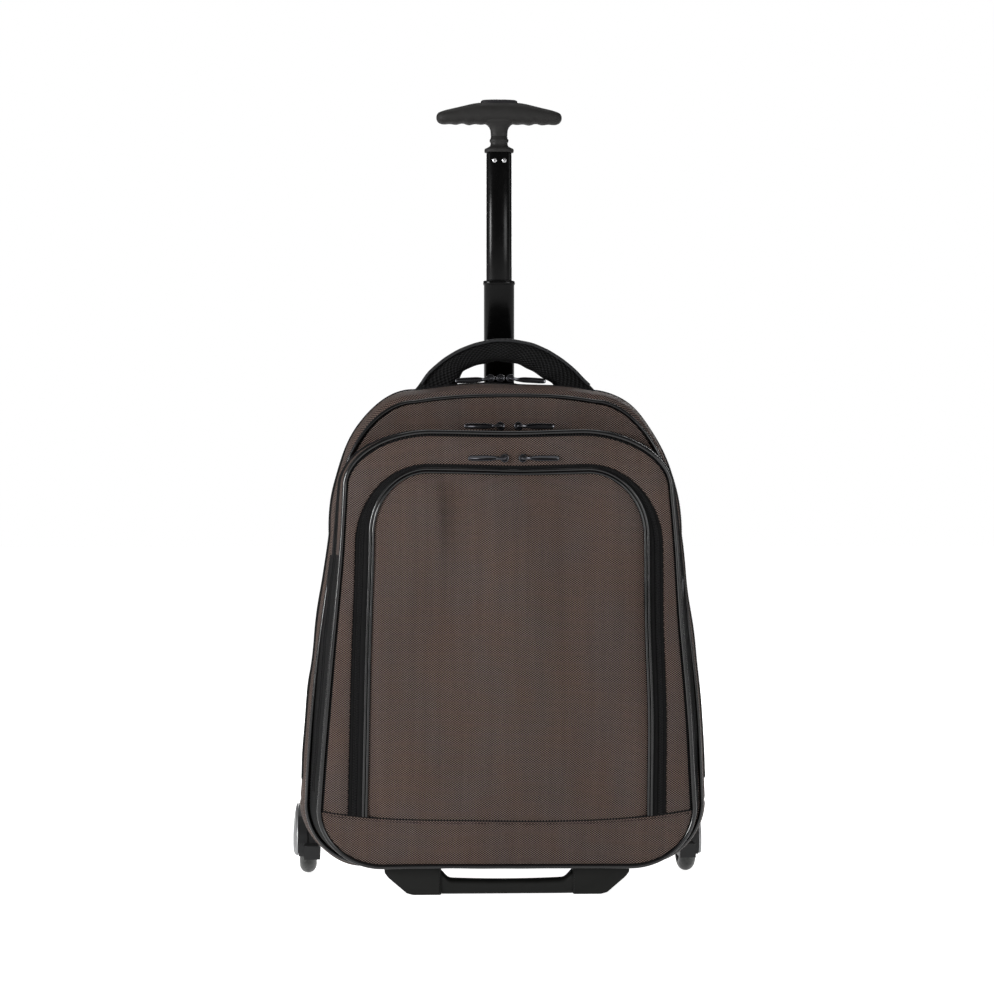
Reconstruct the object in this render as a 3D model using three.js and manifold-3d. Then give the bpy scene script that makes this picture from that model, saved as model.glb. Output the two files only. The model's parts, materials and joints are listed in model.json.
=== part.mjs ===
// Wheeled backpack: a soft bag on two wheels with a telescopic T handle.
// Millimetres, +Z up, +X to the right seen from the front, and the front faces -Y.
// While it is built, y = 0 is the front edge of the main compartment.
import * as THREE from 'three';
import { mergeVertices } from 'three/addons/utils/BufferGeometryUtils.js';
import Module from 'manifold-3d';

const wasm = await Module();
wasm.setup();

// Clearance between pieces that touch
const gap = 0.3;

// Fabric, padding and piping
const shellWall = 3;
const panelWall = 2.5;
const pipingRadius = 2.2;

// Main compartment
const mainWidth = 394;
const shoulderWidth = 332;
const mainBottom = 21;
const mainTop = 484;
const mainArch = 4;
const mainDepth = 132;
const mainLowCorner = 62;
const mainHighCornerWidth = 74;
const mainHighCornerHeight = 99;
const mainSideBow = 3;
const mainEdgeRound = 10;

// Front pocket
const pocketDepth = 46;
const pocketWidth = 357;
const pocketShoulderWidth = 310;
const pocketBottom = 27;
const pocketTop = 439.5;
const pocketLowCornerWidth = 62;
const pocketLowCornerHeight = 55;
const pocketHighCornerWidth = 85;
const pocketHighCornerHeight = 54;
const pocketRearSetback = 4;
const pocketCrown = 11;

// Arched pocket on the front
const seamHeight = 73;
const archWidth = 301;
const archShoulderWidth = 290;
const archTop = 407.5;
const archCornerWidth = 70;
const archCornerHeight = 77;
const bandWidth = 15.5;
const bandTopWidth = 6;

// Zip sliders and pullers
const sliderRadius = 4.2;
const sliderThickness = 3.2;
const pullerLength = 30;
const pullerHeight = 5.4;
const pullerThickness = 1.8;
const sliderSpacing = 17;
const ringSpacing = 9.5;
const sidePullerTop = 300;
const sidePullerLength = 38;

// Carry handle
const handleSpan = 160;
const handleHeight = 43;
const handleThickness = 20;
const handleWidth = 30;
const handleY = 62;
const handleOffset = 5;

// Foot with its grab bar
const footWidth = 232;
const footFlatWidth = 178;
const footSlotWidth = 122;
const footBarHeight = 14.6;
const footDepth = 26;
const footSetback = 10;

// Wheels
const wheelRadius = 33;
const wheelWidth = 17;
const hubRadius = 22;
const axleRadius = 4;
const wheelInset = 7.25;
const wheelSetback = 17;
const housingWall = 2.3;
const housingBottom = 20;
const runningGap = 1.5;
const coverThickness = 2.2;
const coverDome = 3.4;
const toeLength = 32;
const toeInset = 5;

// Telescopic handle
const upperTubeWidth = 25.3;
const upperTubeDepth = 16;
const lowerTubeWidth = 30;
const lowerTubeDepth = 21.6;
const tubeWall = 1.4;
const sleeveWall = 1.8;
const slidingGap = 0.6;
const lowerTubeTop = 591;
const lowerTubeLength = 330;
const upperTubeTop = 718.5;
const upperTubeLength = 320;
const lipHeight = 3.5;
const lipWidth = 0.8;
const gripWidth = 124.8;
const gripDepth = 26;
const gripHeight = 22;
const neckLength = 28.5;
const neckWidth = 18;
const neckDepth = 13;
const collarHeight = 3.2;
const collarMargin = 1.6;
const spigotLength = 24;
const buttonWidth = 37;
const buttonDepth = 15;
const buttonHeight = 6;
const buttonRise = 2.4;
const buttonTravel = 2;
const rivetRadius = 2.2;
const rivetHead = 0.7;
const rivetLength = 6;
const rivetSpacing = 9.6;
const rivetDrop = 8.2;

// Padded back and shoulder straps
const padWidth = 286;
const padTopWidth = 250;
const padBottom = 92;
const padTop = 452;
const padThickness = 12;
const strapWidth = 58;
const strapThickness = 10;
const strapBow = 26;
const strapSpread = 50;
const strapTop = 440;
const strapBottom = 225;
const webbingTurn = 132;
const webbingWidth = 25;
const webbingThickness = 2;
const webbingSpread = 166;
const webbingBottom = 92;

// How the main compartment's outline draws in along its depth
const mainSections = [
  { depth: 0, inset: 1 },
  { depth: 0.05, inset: 0.5 },
  { depth: 0.18, inset: 0.15 },
  { depth: 0.5, inset: 0 },
  { depth: 0.82, inset: 0.2 },
  { depth: 0.94, inset: 0.6 },
  { depth: 1, inset: 1.3 },
];

// The grip's upper edge, lower edge and depth along its half length
const gripSections = [
  { along: 0, top: 1, bottom: 0, depth: 1 },
  { along: 0.29, top: 0.99, bottom: 0, depth: 0.98 },
  { along: 0.4, top: 0.94, bottom: -0.06, depth: 0.95 },
  { along: 0.5, top: 0.89, bottom: -0.05, depth: 0.92 },
  { along: 0.6, top: 0.84, bottom: 0, depth: 0.88 },
  { along: 0.73, top: 0.75, bottom: 0.01, depth: 0.82 },
  { along: 0.86, top: 0.66, bottom: 0.02, depth: 0.74 },
  { along: 0.95, top: 0.57, bottom: 0.07, depth: 0.6 },
  { along: 1, top: 0.42, bottom: 0.2, depth: 0.3 },
];

// How finely curves are divided
const cornerSteps = 5;
const sideSteps = 5;
const flatSteps = 4;
const roundSteps = 24;

// Colours, roughness and metalness
const nylon = { color: 0x55493f, roughness: 0.85, metalness: 0 };
const blackFabric = { color: 0x1c1d1e, roughness: 0.8, metalness: 0 };
const glossBlack = { color: 0x202122, roughness: 0.3, metalness: 0 };
const blackPlastic = { color: 0x1a1b1c, roughness: 0.5, metalness: 0 };
const greyPlastic = { color: 0x3c3e40, roughness: 0.45, metalness: 0 };
const softGrip = { color: 0x2b2c2e, roughness: 0.75, metalness: 0 };
const blackMetal = { color: 0x0c0c0d, roughness: 0.15, metalness: 0.8 };
const steel = { color: 0xb9bcc0, roughness: 0.25, metalness: 1 };
const wheelGrey = { color: 0x3b3e3c, roughness: 0.4, metalness: 0 };

const lerp = (a, b, t) => a + (b - a) * t;

// Outlines in a plane of constant y: a flat bottom, two low corners, slanting sides,
// two high corners and a slightly arched top
const mainOutline = {
  bottom: mainBottom,
  top: mainTop,
  arch: mainArch,
  lowHalf: mainWidth / 2,
  highHalf: shoulderWidth / 2,
  lowCorner: [mainLowCorner, mainLowCorner],
  highCorner: [mainHighCornerWidth, mainHighCornerHeight],
  highPower: 1.75,
  bow: mainSideBow,
};
const pocketOutline = {
  bottom: pocketBottom,
  top: pocketTop,
  arch: 0,
  lowHalf: pocketWidth / 2,
  highHalf: pocketShoulderWidth / 2,
  lowCorner: [pocketLowCornerWidth, pocketLowCornerHeight],
  highCorner: [pocketHighCornerWidth, pocketHighCornerHeight],
  highPower: 1.9,
  bow: 0,
};
const archOutline = {
  bottom: seamHeight,
  top: archTop,
  arch: 0,
  lowHalf: archWidth / 2,
  highHalf: archShoulderWidth / 2,
  lowCorner: [0, 0],
  highCorner: [archCornerWidth, archCornerHeight],
  highPower: 1.95,
  bow: 0,
};

// The same outline moved outward by a distance on every side
function grow(outline, distance) {
  return {
    ...outline,
    bottom: outline.bottom - distance,
    top: outline.top + distance,
    lowHalf: outline.lowHalf + distance,
    highHalf: outline.highHalf + distance,
    lowCorner: outline.lowCorner.map((size) => (size > 0 ? size + distance : 0)),
    highCorner: outline.highCorner.map((size) => size + distance),
  };
}

// The right half of an outline, from the flat bottom's end up to the top's end
function halfCurve(outline) {
  const points = [];
  const [lowX, lowZ] = outline.lowCorner;
  const [highX, highZ] = outline.highCorner;
  const power = 2 / outline.highPower;
  const lowSteps = lowX > 0 ? cornerSteps : 0;
  for (let i = 0; i < lowSteps; i++) {
    const angle = (i / cornerSteps) * (Math.PI / 2);
    points.push([
      outline.lowHalf - lowX + lowX * Math.sin(angle),
      outline.bottom + lowZ - lowZ * Math.cos(angle),
    ]);
  }
  for (let i = 0; i < sideSteps; i++) {
    const t = i / sideSteps;
    points.push([
      lerp(outline.lowHalf, outline.highHalf, t) + outline.bow * 4 * t * (1 - t),
      lerp(outline.bottom + lowZ, outline.top - highZ, t),
    ]);
  }
  for (let i = 0; i <= cornerSteps; i++) {
    const angle = (i / cornerSteps) * (Math.PI / 2);
    points.push([
      outline.highHalf - highX + highX * Math.max(Math.cos(angle), 0) ** power,
      outline.top - highZ + highZ * Math.sin(angle) ** power,
    ]);
  }
  return points;
}

const mirrorX = ([x, z]) => [-x, z];

// The points strictly between two ends of a straight or arched stretch
function between(from, to, arch) {
  const points = [];
  for (let i = 1; i < flatSteps; i++) {
    const t = i / flatSteps;
    points.push([lerp(from[0], to[0], t), lerp(from[1], to[1], t) + arch * 4 * t * (1 - t)]);
  }
  return points;
}

function closedLoop(outline) {
  const right = halfCurve(outline);
  const left = right.map(mirrorX).reverse();
  return [
    ...right,
    ...between(right.at(-1), left[0], outline.arch),
    ...left,
    ...between(left.at(-1), right[0], 0),
  ];
}

// The upper part of an outline above a height, from its right foot over the top to its left foot
function openCurve(outline, height) {
  const right = cutAt(halfCurve(outline), height).above;
  const left = right.map(mirrorX).reverse();
  return [...right, ...between(right.at(-1), left[0], outline.arch), ...left];
}

// A rising curve split at a height
function cutAt(points, height) {
  const k = points.findIndex((point) => point[1] >= height);
  if (k <= 0) return { below: [], above: points };
  const [low, high] = [points[k - 1], points[k]];
  const t = (height - low[1]) / (high[1] - low[1]);
  const joint = [lerp(low[0], high[0], t), height];
  const rest = points.slice(t > 0.999 ? k + 1 : k);
  return { below: [...points.slice(0, k), joint], above: [joint, ...rest] };
}

// Half the width of an outline at a height
function halfWidthAt(outline, height) {
  const points = halfCurve(outline);
  const k = points.findIndex((point) => point[1] >= height);
  if (k === 0) return points[0][0];
  if (k < 0) return points.at(-1)[0];
  const [low, high] = [points[k - 1], points[k]];
  return lerp(low[0], high[0], (height - low[1]) / (high[1] - low[1]));
}

// Points along a line at even distances
function resample(points, count) {
  const lengths = [0];
  for (let i = 1; i < points.length; i++) {
    const [a, b] = [points[i - 1], points[i]];
    lengths.push(lengths[i - 1] + Math.hypot(b[0] - a[0], b[1] - a[1]));
  }
  const result = [];
  let k = 1;
  for (let i = 0; i < count; i++) {
    const target = (lengths.at(-1) * i) / (count - 1);
    while (k < points.length - 1 && lengths[k] < target) k++;
    const t = Math.min(1, (target - lengths[k - 1]) / (lengths[k] - lengths[k - 1]));
    result.push([lerp(points[k - 1][0], points[k][0], t), lerp(points[k - 1][1], points[k][1], t)]);
  }
  return result;
}

// A geometry from points and triangles, turned so that its faces point out
function bodyFrom(points, triangles) {
  let volume = 0;
  for (const [a, b, c] of triangles) {
    const [p, q, r] = [points[a], points[b], points[c]];
    volume += p[0] * (q[1] * r[2] - q[2] * r[1]);
    volume += p[1] * (q[2] * r[0] - q[0] * r[2]);
    volume += p[2] * (q[0] * r[1] - q[1] * r[0]);
  }
  const faces = volume > 0 ? triangles : triangles.map(([a, b, c]) => [a, c, b]);
  const geometry = new THREE.BufferGeometry();
  geometry.setAttribute('position', new THREE.Float32BufferAttribute(points.flat(), 3));
  geometry.setIndex(faces.flat());
  return geometry;
}

// A body through loops with equally many points: capped at both ends, or a closed ring of loops
function loft(loops, isRing = false) {
  const count = loops[0].length;
  const points = loops.flat();
  const triangles = [];
  const strips = isRing ? loops.length : loops.length - 1;
  for (let k = 0; k < strips; k++) {
    const a = k * count;
    const b = ((k + 1) % loops.length) * count;
    for (let i = 0; i < count; i++) {
      const j = (i + 1) % count;
      triangles.push([a + i, a + j, b + j], [a + i, b + j, b + i]);
    }
  }
  if (!isRing) {
    capLoop(points, triangles, 0, count, true);
    capLoop(points, triangles, (loops.length - 1) * count, count, false);
  }
  return bodyFrom(points, triangles);
}

function capLoop(points, triangles, start, count, isFirst) {
  const middle = [0, 0, 0];
  for (let i = 0; i < count; i++) {
    for (let axis = 0; axis < 3; axis++) middle[axis] += points[start + i][axis] / count;
  }
  points.push(middle);
  const centre = points.length - 1;
  for (let i = 0; i < count; i++) {
    const j = (i + 1) % count;
    triangles.push(isFirst ? [centre, start + j, start + i] : [centre, start + i, start + j]);
  }
}

// A sheet given by rows of [x, z], with a front surface and a thickness along y
function sheet(rows, frontAt, thickness) {
  const columns = rows[0].length;
  const flat = rows.flat();
  const front = flat.map(([x, z]) => [x, frontAt(x, z), z]);
  const back = flat.map(([x, z]) => [x, frontAt(x, z) + thickness, z]);
  const points = [...front, ...back];
  const shift = flat.length;
  const triangles = [];
  const quad = (a, b, c, d) => triangles.push([a, b, c], [a, c, d]);
  for (let r = 0; r < rows.length - 1; r++) {
    for (let c = 0; c < columns - 1; c++) {
      const [a, b] = [r * columns + c, r * columns + c + 1];
      const [d, e] = [a + columns, b + columns];
      quad(a, b, e, d);
      quad(a + shift, d + shift, e + shift, b + shift);
    }
  }
  const rim = [];
  for (let c = 0; c < columns; c++) rim.push(c);
  for (let r = 1; r < rows.length; r++) rim.push(r * columns + columns - 1);
  for (let c = columns - 2; c >= 0; c--) rim.push((rows.length - 1) * columns + c);
  for (let r = rows.length - 2; r > 0; r--) rim.push(r * columns);
  rim.forEach((a, i) => {
    const b = rim[(i + 1) % rim.length];
    quad(b, a, a + shift, b + shift);
  });
  return bodyFrom(points, triangles);
}

// Rows across a symmetrical curve from left to right
function rowsAcross(curve, arch, columns = 10) {
  return curve.map(([half, z], k) => {
    const lift = k === curve.length - 1 ? arch : 0;
    const row = [];
    for (let c = 0; c <= columns; c++) {
      const u = (2 * c) / columns - 1;
      row.push([half * u, z + lift * (1 - u * u)]);
    }
    return row;
  });
}

// Rows between two curves. Where they have different numbers of points, the outer one is resampled.
function rowsBetween(outer, inner, steps) {
  const a = outer.length === inner.length ? outer : resample(outer, inner.length);
  const rows = [];
  for (let r = 0; r <= steps; r++) {
    rows.push(a.map((point, i) => [
      lerp(point[0], inner[i][0], r / steps),
      lerp(point[1], inner[i][1], r / steps),
    ]));
  }
  return rows;
}

// A rounded section of half sizes a and b: power 2 is an ellipse, more is squarer
function section(a, b, sides, power = 2) {
  const points = [];
  for (let i = 0; i < sides; i++) {
    const angle = ((i + 0.5) / sides) * 2 * Math.PI;
    const [c, s] = [Math.cos(angle), Math.sin(angle)];
    points.push([
      a * Math.sign(c) * Math.abs(c) ** (2 / power),
      b * Math.sign(s) * Math.abs(s) ** (2 / power),
    ]);
  }
  return points;
}

// A section carried along a path: its first size lies along a fixed axis
function sweep(path, axis, sectionAt, isRing = false) {
  const across = new THREE.Vector3(...axis);
  const loops = path.map((point, i) => {
    const before = path[isRing ? (i - 1 + path.length) % path.length : Math.max(i - 1, 0)];
    const after = path[isRing ? (i + 1) % path.length : Math.min(i + 1, path.length - 1)];
    const tangent = new THREE.Vector3(...after).sub(new THREE.Vector3(...before)).normalize();
    const normal = tangent.clone().cross(across).normalize();
    return sectionAt(i / (path.length - 1)).map(([a, b]) => [
      point[0] + across.x * a + normal.x * b,
      point[1] + across.y * a + normal.y * b,
      point[2] + across.z * a + normal.z * b,
    ]);
  });
  return loft(loops, isRing);
}

// A profile of [radius, x] turned round the X axis through y and z
function spin(profile, y, z, steps = roundSteps) {
  const loops = [];
  for (let i = 0; i < steps; i++) {
    const angle = (i / steps) * 2 * Math.PI;
    loops.push(profile.map(([radius, x]) => [
      x,
      y + radius * Math.cos(angle),
      z + radius * Math.sin(angle),
    ]));
  }
  return loft(loops, true);
}

// A rod along an axis ('x' or 'y') through stations of [radius, place]
function rod(stations, axis, centre, steps = 16) {
  return loft(stations.map(([radius, place]) => section(radius, radius, steps).map(([a, b]) => (
    axis === 'x'
      ? [place, centre[0] + a, centre[1] + b]
      : [centre[0] + a, place, centre[1] + b]
  ))));
}

function box(low, high) {
  const geometry = new THREE.BoxGeometry(high[0] - low[0], high[1] - low[1], high[2] - low[2]);
  geometry.translate((low[0] + high[0]) / 2, (low[1] + high[1]) / 2, (low[2] + high[2]) / 2);
  return geometry;
}

// Cutting and joining
function toSolid(geometry) {
  const bare = geometry.clone();
  bare.deleteAttribute('normal');
  bare.deleteAttribute('uv');
  const merged = mergeVertices(bare, 1e-4);
  return new wasm.Manifold(new wasm.Mesh({
    numProp: 3,
    vertProperties: new Float32Array(merged.attributes.position.array),
    triVerts: new Uint32Array(merged.index.array),
  }));
}

function toGeometry(solid) {
  const mesh = solid.getMesh();
  const geometry = new THREE.BufferGeometry();
  geometry.setAttribute('position', new THREE.Float32BufferAttribute(mesh.vertProperties, 3));
  geometry.setIndex(Array.from(mesh.triVerts));
  return geometry;
}

function cut(geometry, ...tools) {
  return toGeometry(tools.reduce((solid, tool) => solid.subtract(toSolid(tool)), toSolid(geometry)));
}

function join(...geometries) {
  return toGeometry(geometries.map(toSolid).reduce((whole, solid) => whole.add(solid)));
}

const bag = new THREE.Group();

function addPiece(name, geometry, look) {
  const mesh = new THREE.Mesh(geometry, new THREE.MeshStandardMaterial(look));
  geometry.computeVertexNormals();
  mesh.name = name;
  bag.add(mesh);
}

// Main compartment
function mainAt(y) {
  const depth = y / mainDepth;
  const k = Math.max(1, mainSections.findIndex((row) => row.depth >= depth));
  const [a, b] = [mainSections[k - 1], mainSections[k]];
  return grow(mainOutline, -mainEdgeRound * lerp(a.inset, b.inset, (depth - a.depth) / (b.depth - a.depth)));
}

const inPlane = (outline, y) => closedLoop(outline).map(([x, z]) => [x, y, z]);

function mainLoops(distance) {
  return mainSections.map(({ depth }) => {
    const y = depth * mainDepth;
    return inPlane(grow(mainAt(y), distance), y);
  });
}

function mainShell() {
  const backInside = mainDepth - shellWall;
  const inner = mainSections.map(({ depth }) => {
    const y = Math.min(depth * mainDepth, backInside);
    return inPlane(grow(mainAt(y), -shellWall), y);
  });
  return loft([...inner.reverse(), ...mainLoops(0)]);
}

// The space that the main compartment fills, with its clearance
function mainEnvelope() {
  const loops = mainLoops(gap);
  loops.unshift(inPlane(grow(mainAt(0), gap), -gap));
  loops.push(inPlane(grow(mainAt(mainDepth), gap), mainDepth + gap));
  return loft(loops);
}

const mainPanelFront = -gap - panelWall;

function mainFrontPanel() {
  const edge = grow(mainAt(0), -pipingRadius * 1.6 - gap);
  return sheet(rowsAcross(halfCurve(edge), mainArch, 4), () => mainPanelFront, panelWall);
}

function pipingRing(outline, y) {
  const path = inPlane(grow(outline, -pipingRadius * 0.6), y);
  return sweep(path, [0, 1, 0], () => section(pipingRadius, pipingRadius, 6), true);
}

// Front pocket
const pocketRearY = mainPanelFront - gap;
const pocketRimY = -pocketDepth;

function pocketAt(y) {
  const t = (pocketRearY - y) / (pocketRearY - pocketRimY);
  const rear = {
    ...grow(mainAt(0), -pocketRearSetback),
    top: pocketTop,
    arch: 0,
    highCorner: pocketOutline.highCorner,
    highPower: pocketOutline.highPower,
  };
  return {
    ...pocketOutline,
    bottom: lerp(rear.bottom, pocketOutline.bottom, t),
    lowHalf: lerp(rear.lowHalf, pocketOutline.lowHalf, t),
    highHalf: lerp(rear.highHalf, pocketOutline.highHalf, t),
    lowCorner: rear.lowCorner.map((size, k) => lerp(size, pocketOutline.lowCorner[k], t)),
    bow: lerp(rear.bow, 0, t),
  };
}

const pocketStations = [pocketRimY, (pocketRimY + pocketRearY) / 2, pocketRearY];

function pocketGusset() {
  const outer = pocketStations.map((y) => inPlane(pocketAt(y), y));
  const inner = pocketStations.map((y) => inPlane(grow(pocketAt(y), -shellWall), y));
  return loft([...outer, ...inner.reverse()], true);
}

function pocketEnvelope() {
  const loops = pocketStations.map((y) => inPlane(grow(pocketAt(y), gap), y));
  const front = inPlane(grow(pocketOutline, gap), pocketRimY - pipingRadius * 2);
  const rear = inPlane(grow(pocketAt(pocketRearY), gap), mainPanelFront + gap);
  return loft([front, ...loops, rear]);
}

// The crowned front of the pocket: 0 at its edge, full in its middle
function crownAt(x, z) {
  const u = x / halfWidthAt(pocketOutline, z);
  const v = (2 * (z - pocketBottom)) / (pocketTop - pocketBottom) - 1;
  return pocketCrown * Math.max(0, 1 - u * u) * Math.max(0, 1 - v ** 4);
}
const frontSurface = (x, z) => pocketRimY - gap - panelWall - crownAt(x, z);

const pocketEdge = grow(pocketOutline, -pipingRadius * 1.6 - gap);
const archInside = {
  ...grow(archOutline, -bandWidth),
  bottom: seamHeight,
  top: archTop - bandTopWidth,
};

function pocketPanel() {
  const outer = openCurve(pocketEdge, seamHeight + gap / 2);
  const inner = openCurve({ ...grow(archOutline, gap), bottom: seamHeight }, seamHeight + gap / 2);
  return sheet(rowsBetween(outer, inner, 2), frontSurface, panelWall);
}

function bottomPanel() {
  const curve = cutAt(halfCurve(pocketEdge), seamHeight - gap / 2).below;
  return sheet(rowsAcross(curve, 0, 12), frontSurface, panelWall);
}

function archBand() {
  const outer = openCurve(archOutline, seamHeight + gap / 2);
  const inner = openCurve(archInside, seamHeight + gap / 2);
  return sheet(rowsBetween(outer, inner, 1), frontSurface, panelWall);
}

function archPanel() {
  const edge = { ...grow(archInside, -gap), bottom: seamHeight };
  const curve = cutAt(halfCurve(edge), seamHeight + gap / 2).above;
  return sheet(rowsAcross(curve, 0, 10), frontSurface, panelWall);
}

function archPiping() {
  const line = resample(openCurve(archInside, seamHeight + gap), 30);
  const path = line.map(([x, z]) => [x, frontSurface(x, z) - gap - pipingRadius * 0.9, z]);
  return sweep(path, [0, 1, 0], () => section(pipingRadius * 0.8, pipingRadius, 6));
}

// Zip sliders and pullers. Each lies in a plane of constant y, and stands on its flat side.
const sliderReach = sliderRadius * Math.cos(Math.PI / 8);

function slider(x, y, z) {
  const face = section(sliderRadius, sliderRadius, 8);
  const loops = [[0.7, 0], [1, 0.25], [1, 0.75], [0.7, 1]].map(([size, place]) => (
    face.map(([a, b]) => [x + a * size, y + place * sliderThickness, z + b * size])
  ));
  return loft(loops);
}

// A tab with an eye at its root, along +x or -x from its root
function pullerShape(length) {
  const half = pullerHeight / 2;
  const lower = [
    [0, -half * 0.8],
    [half, -half],
    [length * 0.4, -half * 0.7],
    [length - half, -half],
    [length, -half * 0.5],
  ];
  const upper = lower.map(([x, z]) => [x, -z]).reverse();
  const shape = new THREE.Shape([...lower, ...upper].map(([x, z]) => new THREE.Vector2(x, z)));
  const eye = new THREE.Path();
  eye.absarc(half * 1.3, 0, half * 0.45, 0, 2 * Math.PI, true);
  shape.holes.push(eye);
  return shape;
}

// A puller whose back lies at y, turned by an angle in that plane from +x towards +z
function puller(x, y, z, angle, length = pullerLength) {
  const settings = { depth: pullerThickness, bevelEnabled: false, curveSegments: 3 };
  const geometry = new THREE.ExtrudeGeometry(pullerShape(length), settings);
  geometry.rotateX(Math.PI / 2);
  geometry.rotateY(-angle);
  geometry.translate(x, y, z);
  return geometry;
}

// The foremost place of a surface over a stretch of x at a height
function foremost(surfaceAt, from, to, z) {
  const places = [];
  for (const x of [from, (from + to) / 2, to]) {
    for (const dz of [-sliderRadius, 0, sliderRadius]) places.push(surfaceAt(x, z + dz));
  }
  return Math.min(...places) - gap;
}

function addSlider(name, x, z, surfaceAt) {
  const back = foremost(surfaceAt, x - sliderRadius, x + sliderRadius, z);
  addPiece(name, slider(x, back - gap - sliderThickness, z), glossBlack);
}

function addPuller(name, x, z, side, surfaceAt) {
  const root = x + side * (sliderRadius + gap);
  const back = foremost(surfaceAt, root, root + side * pullerLength, z);
  addPiece(name, puller(root, back, z, side < 0 ? Math.PI : 0), glossBlack);
}

function addZipPair(name, middle, z, spacing, surfaceAt) {
  for (const side of [-1, 1]) {
    const label = side < 0 ? 'left' : 'right';
    const x = middle + (side * spacing) / 2;
    addSlider(`${name}_slider_${label}`, x, z, surfaceAt);
    addPuller(`${name}_puller_${label}`, x, z, side, surfaceAt);
  }
}

// The puller that hangs down the right side of the front pocket
function sidePuller() {
  const y = (pocketRimY + pocketRearY) / 2;
  const behind = pocketAt(y + pullerHeight / 2);
  const x = halfWidthAt(behind, sidePullerTop - sidePullerLength) + gap;
  const geometry = puller(0, 0, 0, -Math.PI / 2, sidePullerLength);
  geometry.rotateZ(Math.PI / 2);
  geometry.translate(x, y, sidePullerTop);
  return geometry;
}

// Carry handle: an arch over the top whose ends meet the bag
function carryHandle() {
  const middle = mainTop + mainArch + handleHeight - handleThickness / 2;
  const foot = mainTop - handleThickness * 0.9;
  const path = [];
  const steps = 14;
  for (let i = 0; i <= steps; i++) {
    const u = (2 * i) / steps - 1;
    path.push([
      handleOffset + (handleSpan / 2) * u,
      handleY,
      middle - (middle - foot) * Math.abs(u) ** 3.4,
    ]);
  }
  const shape = section(handleWidth / 2, handleThickness / 2, 12, 2.6);
  return cut(sweep(path, [0, 1, 0], () => shape), mainEnvelope());
}

// Foot: two blocks joined by a grab bar, under the front pocket
const footFrontY = pocketRimY + footSetback;

function footHandle() {
  const top = pocketBottom + shellWall;
  const half = footWidth / 2;
  const flat = footFlatWidth / 2;
  const slot = footSlotWidth / 2;
  const corner = footBarHeight * 0.25;
  const slant = footWidth / 2 - (footWidth - footFlatWidth) * 0.1;
  const outline = [
    [-flat, 0], [flat, 0], [flat + corner, corner], [slant, footBarHeight * 1.3], [half, footBarHeight * 1.5],
    [half, top], [slot, top], [slot, footBarHeight * 1.3], [slot - corner, footBarHeight],
    [-slot + corner, footBarHeight], [-slot, footBarHeight * 1.3], [-slot, top], [-half, top],
    [-half, footBarHeight * 1.5], [-slant, footBarHeight * 1.3], [-flat - corner, corner],
  ];
  const shape = new THREE.Shape(outline.map(([x, z]) => new THREE.Vector2(x, z)));
  const geometry = new THREE.ExtrudeGeometry(shape, { depth: footDepth, bevelEnabled: false });
  geometry.rotateX(Math.PI / 2);
  geometry.translate(0, footFrontY + footDepth, 0);
  return cut(geometry, pocketEnvelope());
}

// Wheels, axles, housings and covers on each side
const wheelY = mainDepth + wheelSetback;
const wheelZ = wheelRadius;
const wheelSpacing = mainWidth - 2 * wheelInset;
const housingRadius = wheelRadius + runningGap + housingWall;
const wheelInnerX = (wheelSpacing - wheelWidth) / 2;
const wheelOuterX = (wheelSpacing + wheelWidth) / 2;
const plateInnerX = wheelInnerX - runningGap - housingWall;
const rimOuterX = wheelOuterX + runningGap / 2;

function wheelTyre(side) {
  const middle = (side * wheelSpacing) / 2;
  const half = wheelWidth / 2;
  const profile = [[hubRadius, -half * 0.7], [wheelRadius - half, -half]];
  for (const angle of [-50, -25, 0, 25, 50]) {
    const a = (angle * Math.PI) / 180;
    profile.push([wheelRadius - half + half * Math.cos(a), half * Math.sin(a)]);
  }
  profile.push([wheelRadius - half, half], [hubRadius, half * 0.7]);
  return spin(profile.map(([r, x]) => [r, middle + side * x]), wheelY, wheelZ, 28);
}

function wheelHub(side) {
  const middle = (side * wheelSpacing) / 2;
  const half = wheelWidth / 2;
  const bore = axleRadius + gap;
  const rim = hubRadius - gap;
  const boss = bore * 2;
  const profile = [
    [bore, -half], [boss, -half], [rim, -half * 0.6], [rim, half * 0.6], [boss, half], [bore, half],
  ];
  return spin(profile.map(([r, x]) => [r, middle + side * x]), wheelY, wheelZ, 16);
}

function axle(side) {
  const head = axleRadius * 1.5;
  const stations = [
    [head, plateInnerX - gap - 2],
    [head, plateInnerX - gap],
    [axleRadius, plateInnerX - gap],
    [axleRadius, rimOuterX],
  ];
  return rod(stations.map(([r, x]) => [r, side * x]), 'x', [wheelY, wheelZ], 16);
}

function housing(side) {
  const inside = housingRadius - housingWall;
  const step = lerp(plateInnerX, rimOuterX, 0.55);
  const profile = [
    [axleRadius + gap, plateInnerX],
    [housingRadius - 1, plateInnerX],
    [housingRadius - 1, step],
    [housingRadius, step + 1],
    [housingRadius, rimOuterX],
    [inside, rimOuterX],
    [inside, plateInnerX + housingWall],
    [axleRadius + gap, plateInnerX + housingWall],
  ];
  const cup = spin(profile.map(([r, x]) => [r, side * x]), wheelY, wheelZ);
  const toeEnd = wheelY - inside + housingWall;
  const [toeLow, toeHigh] = [side * plateInnerX, side * (wheelOuterX - toeInset)].sort((a, b) => a - b);
  const toe = box([toeLow, toeEnd - toeLength, housingBottom], [toeHigh, toeEnd, wheelZ]);
  return cut(join(cup, cut(toe, mainEnvelope())), below(housingBottom), housingInside(side));
}

// All the space round the wheels that lies below a height
function below(height) {
  return box([-mainWidth, wheelY - mainDepth, -housingRadius], [mainWidth, wheelY + mainDepth, height]);
}

function housingInside(side) {
  const inside = housingRadius - housingWall;
  const stations = [[inside, side * (plateInnerX + housingWall)], [inside, side * mainWidth]];
  return rod(stations, 'x', [wheelY, wheelZ], roundSteps);
}

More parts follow.
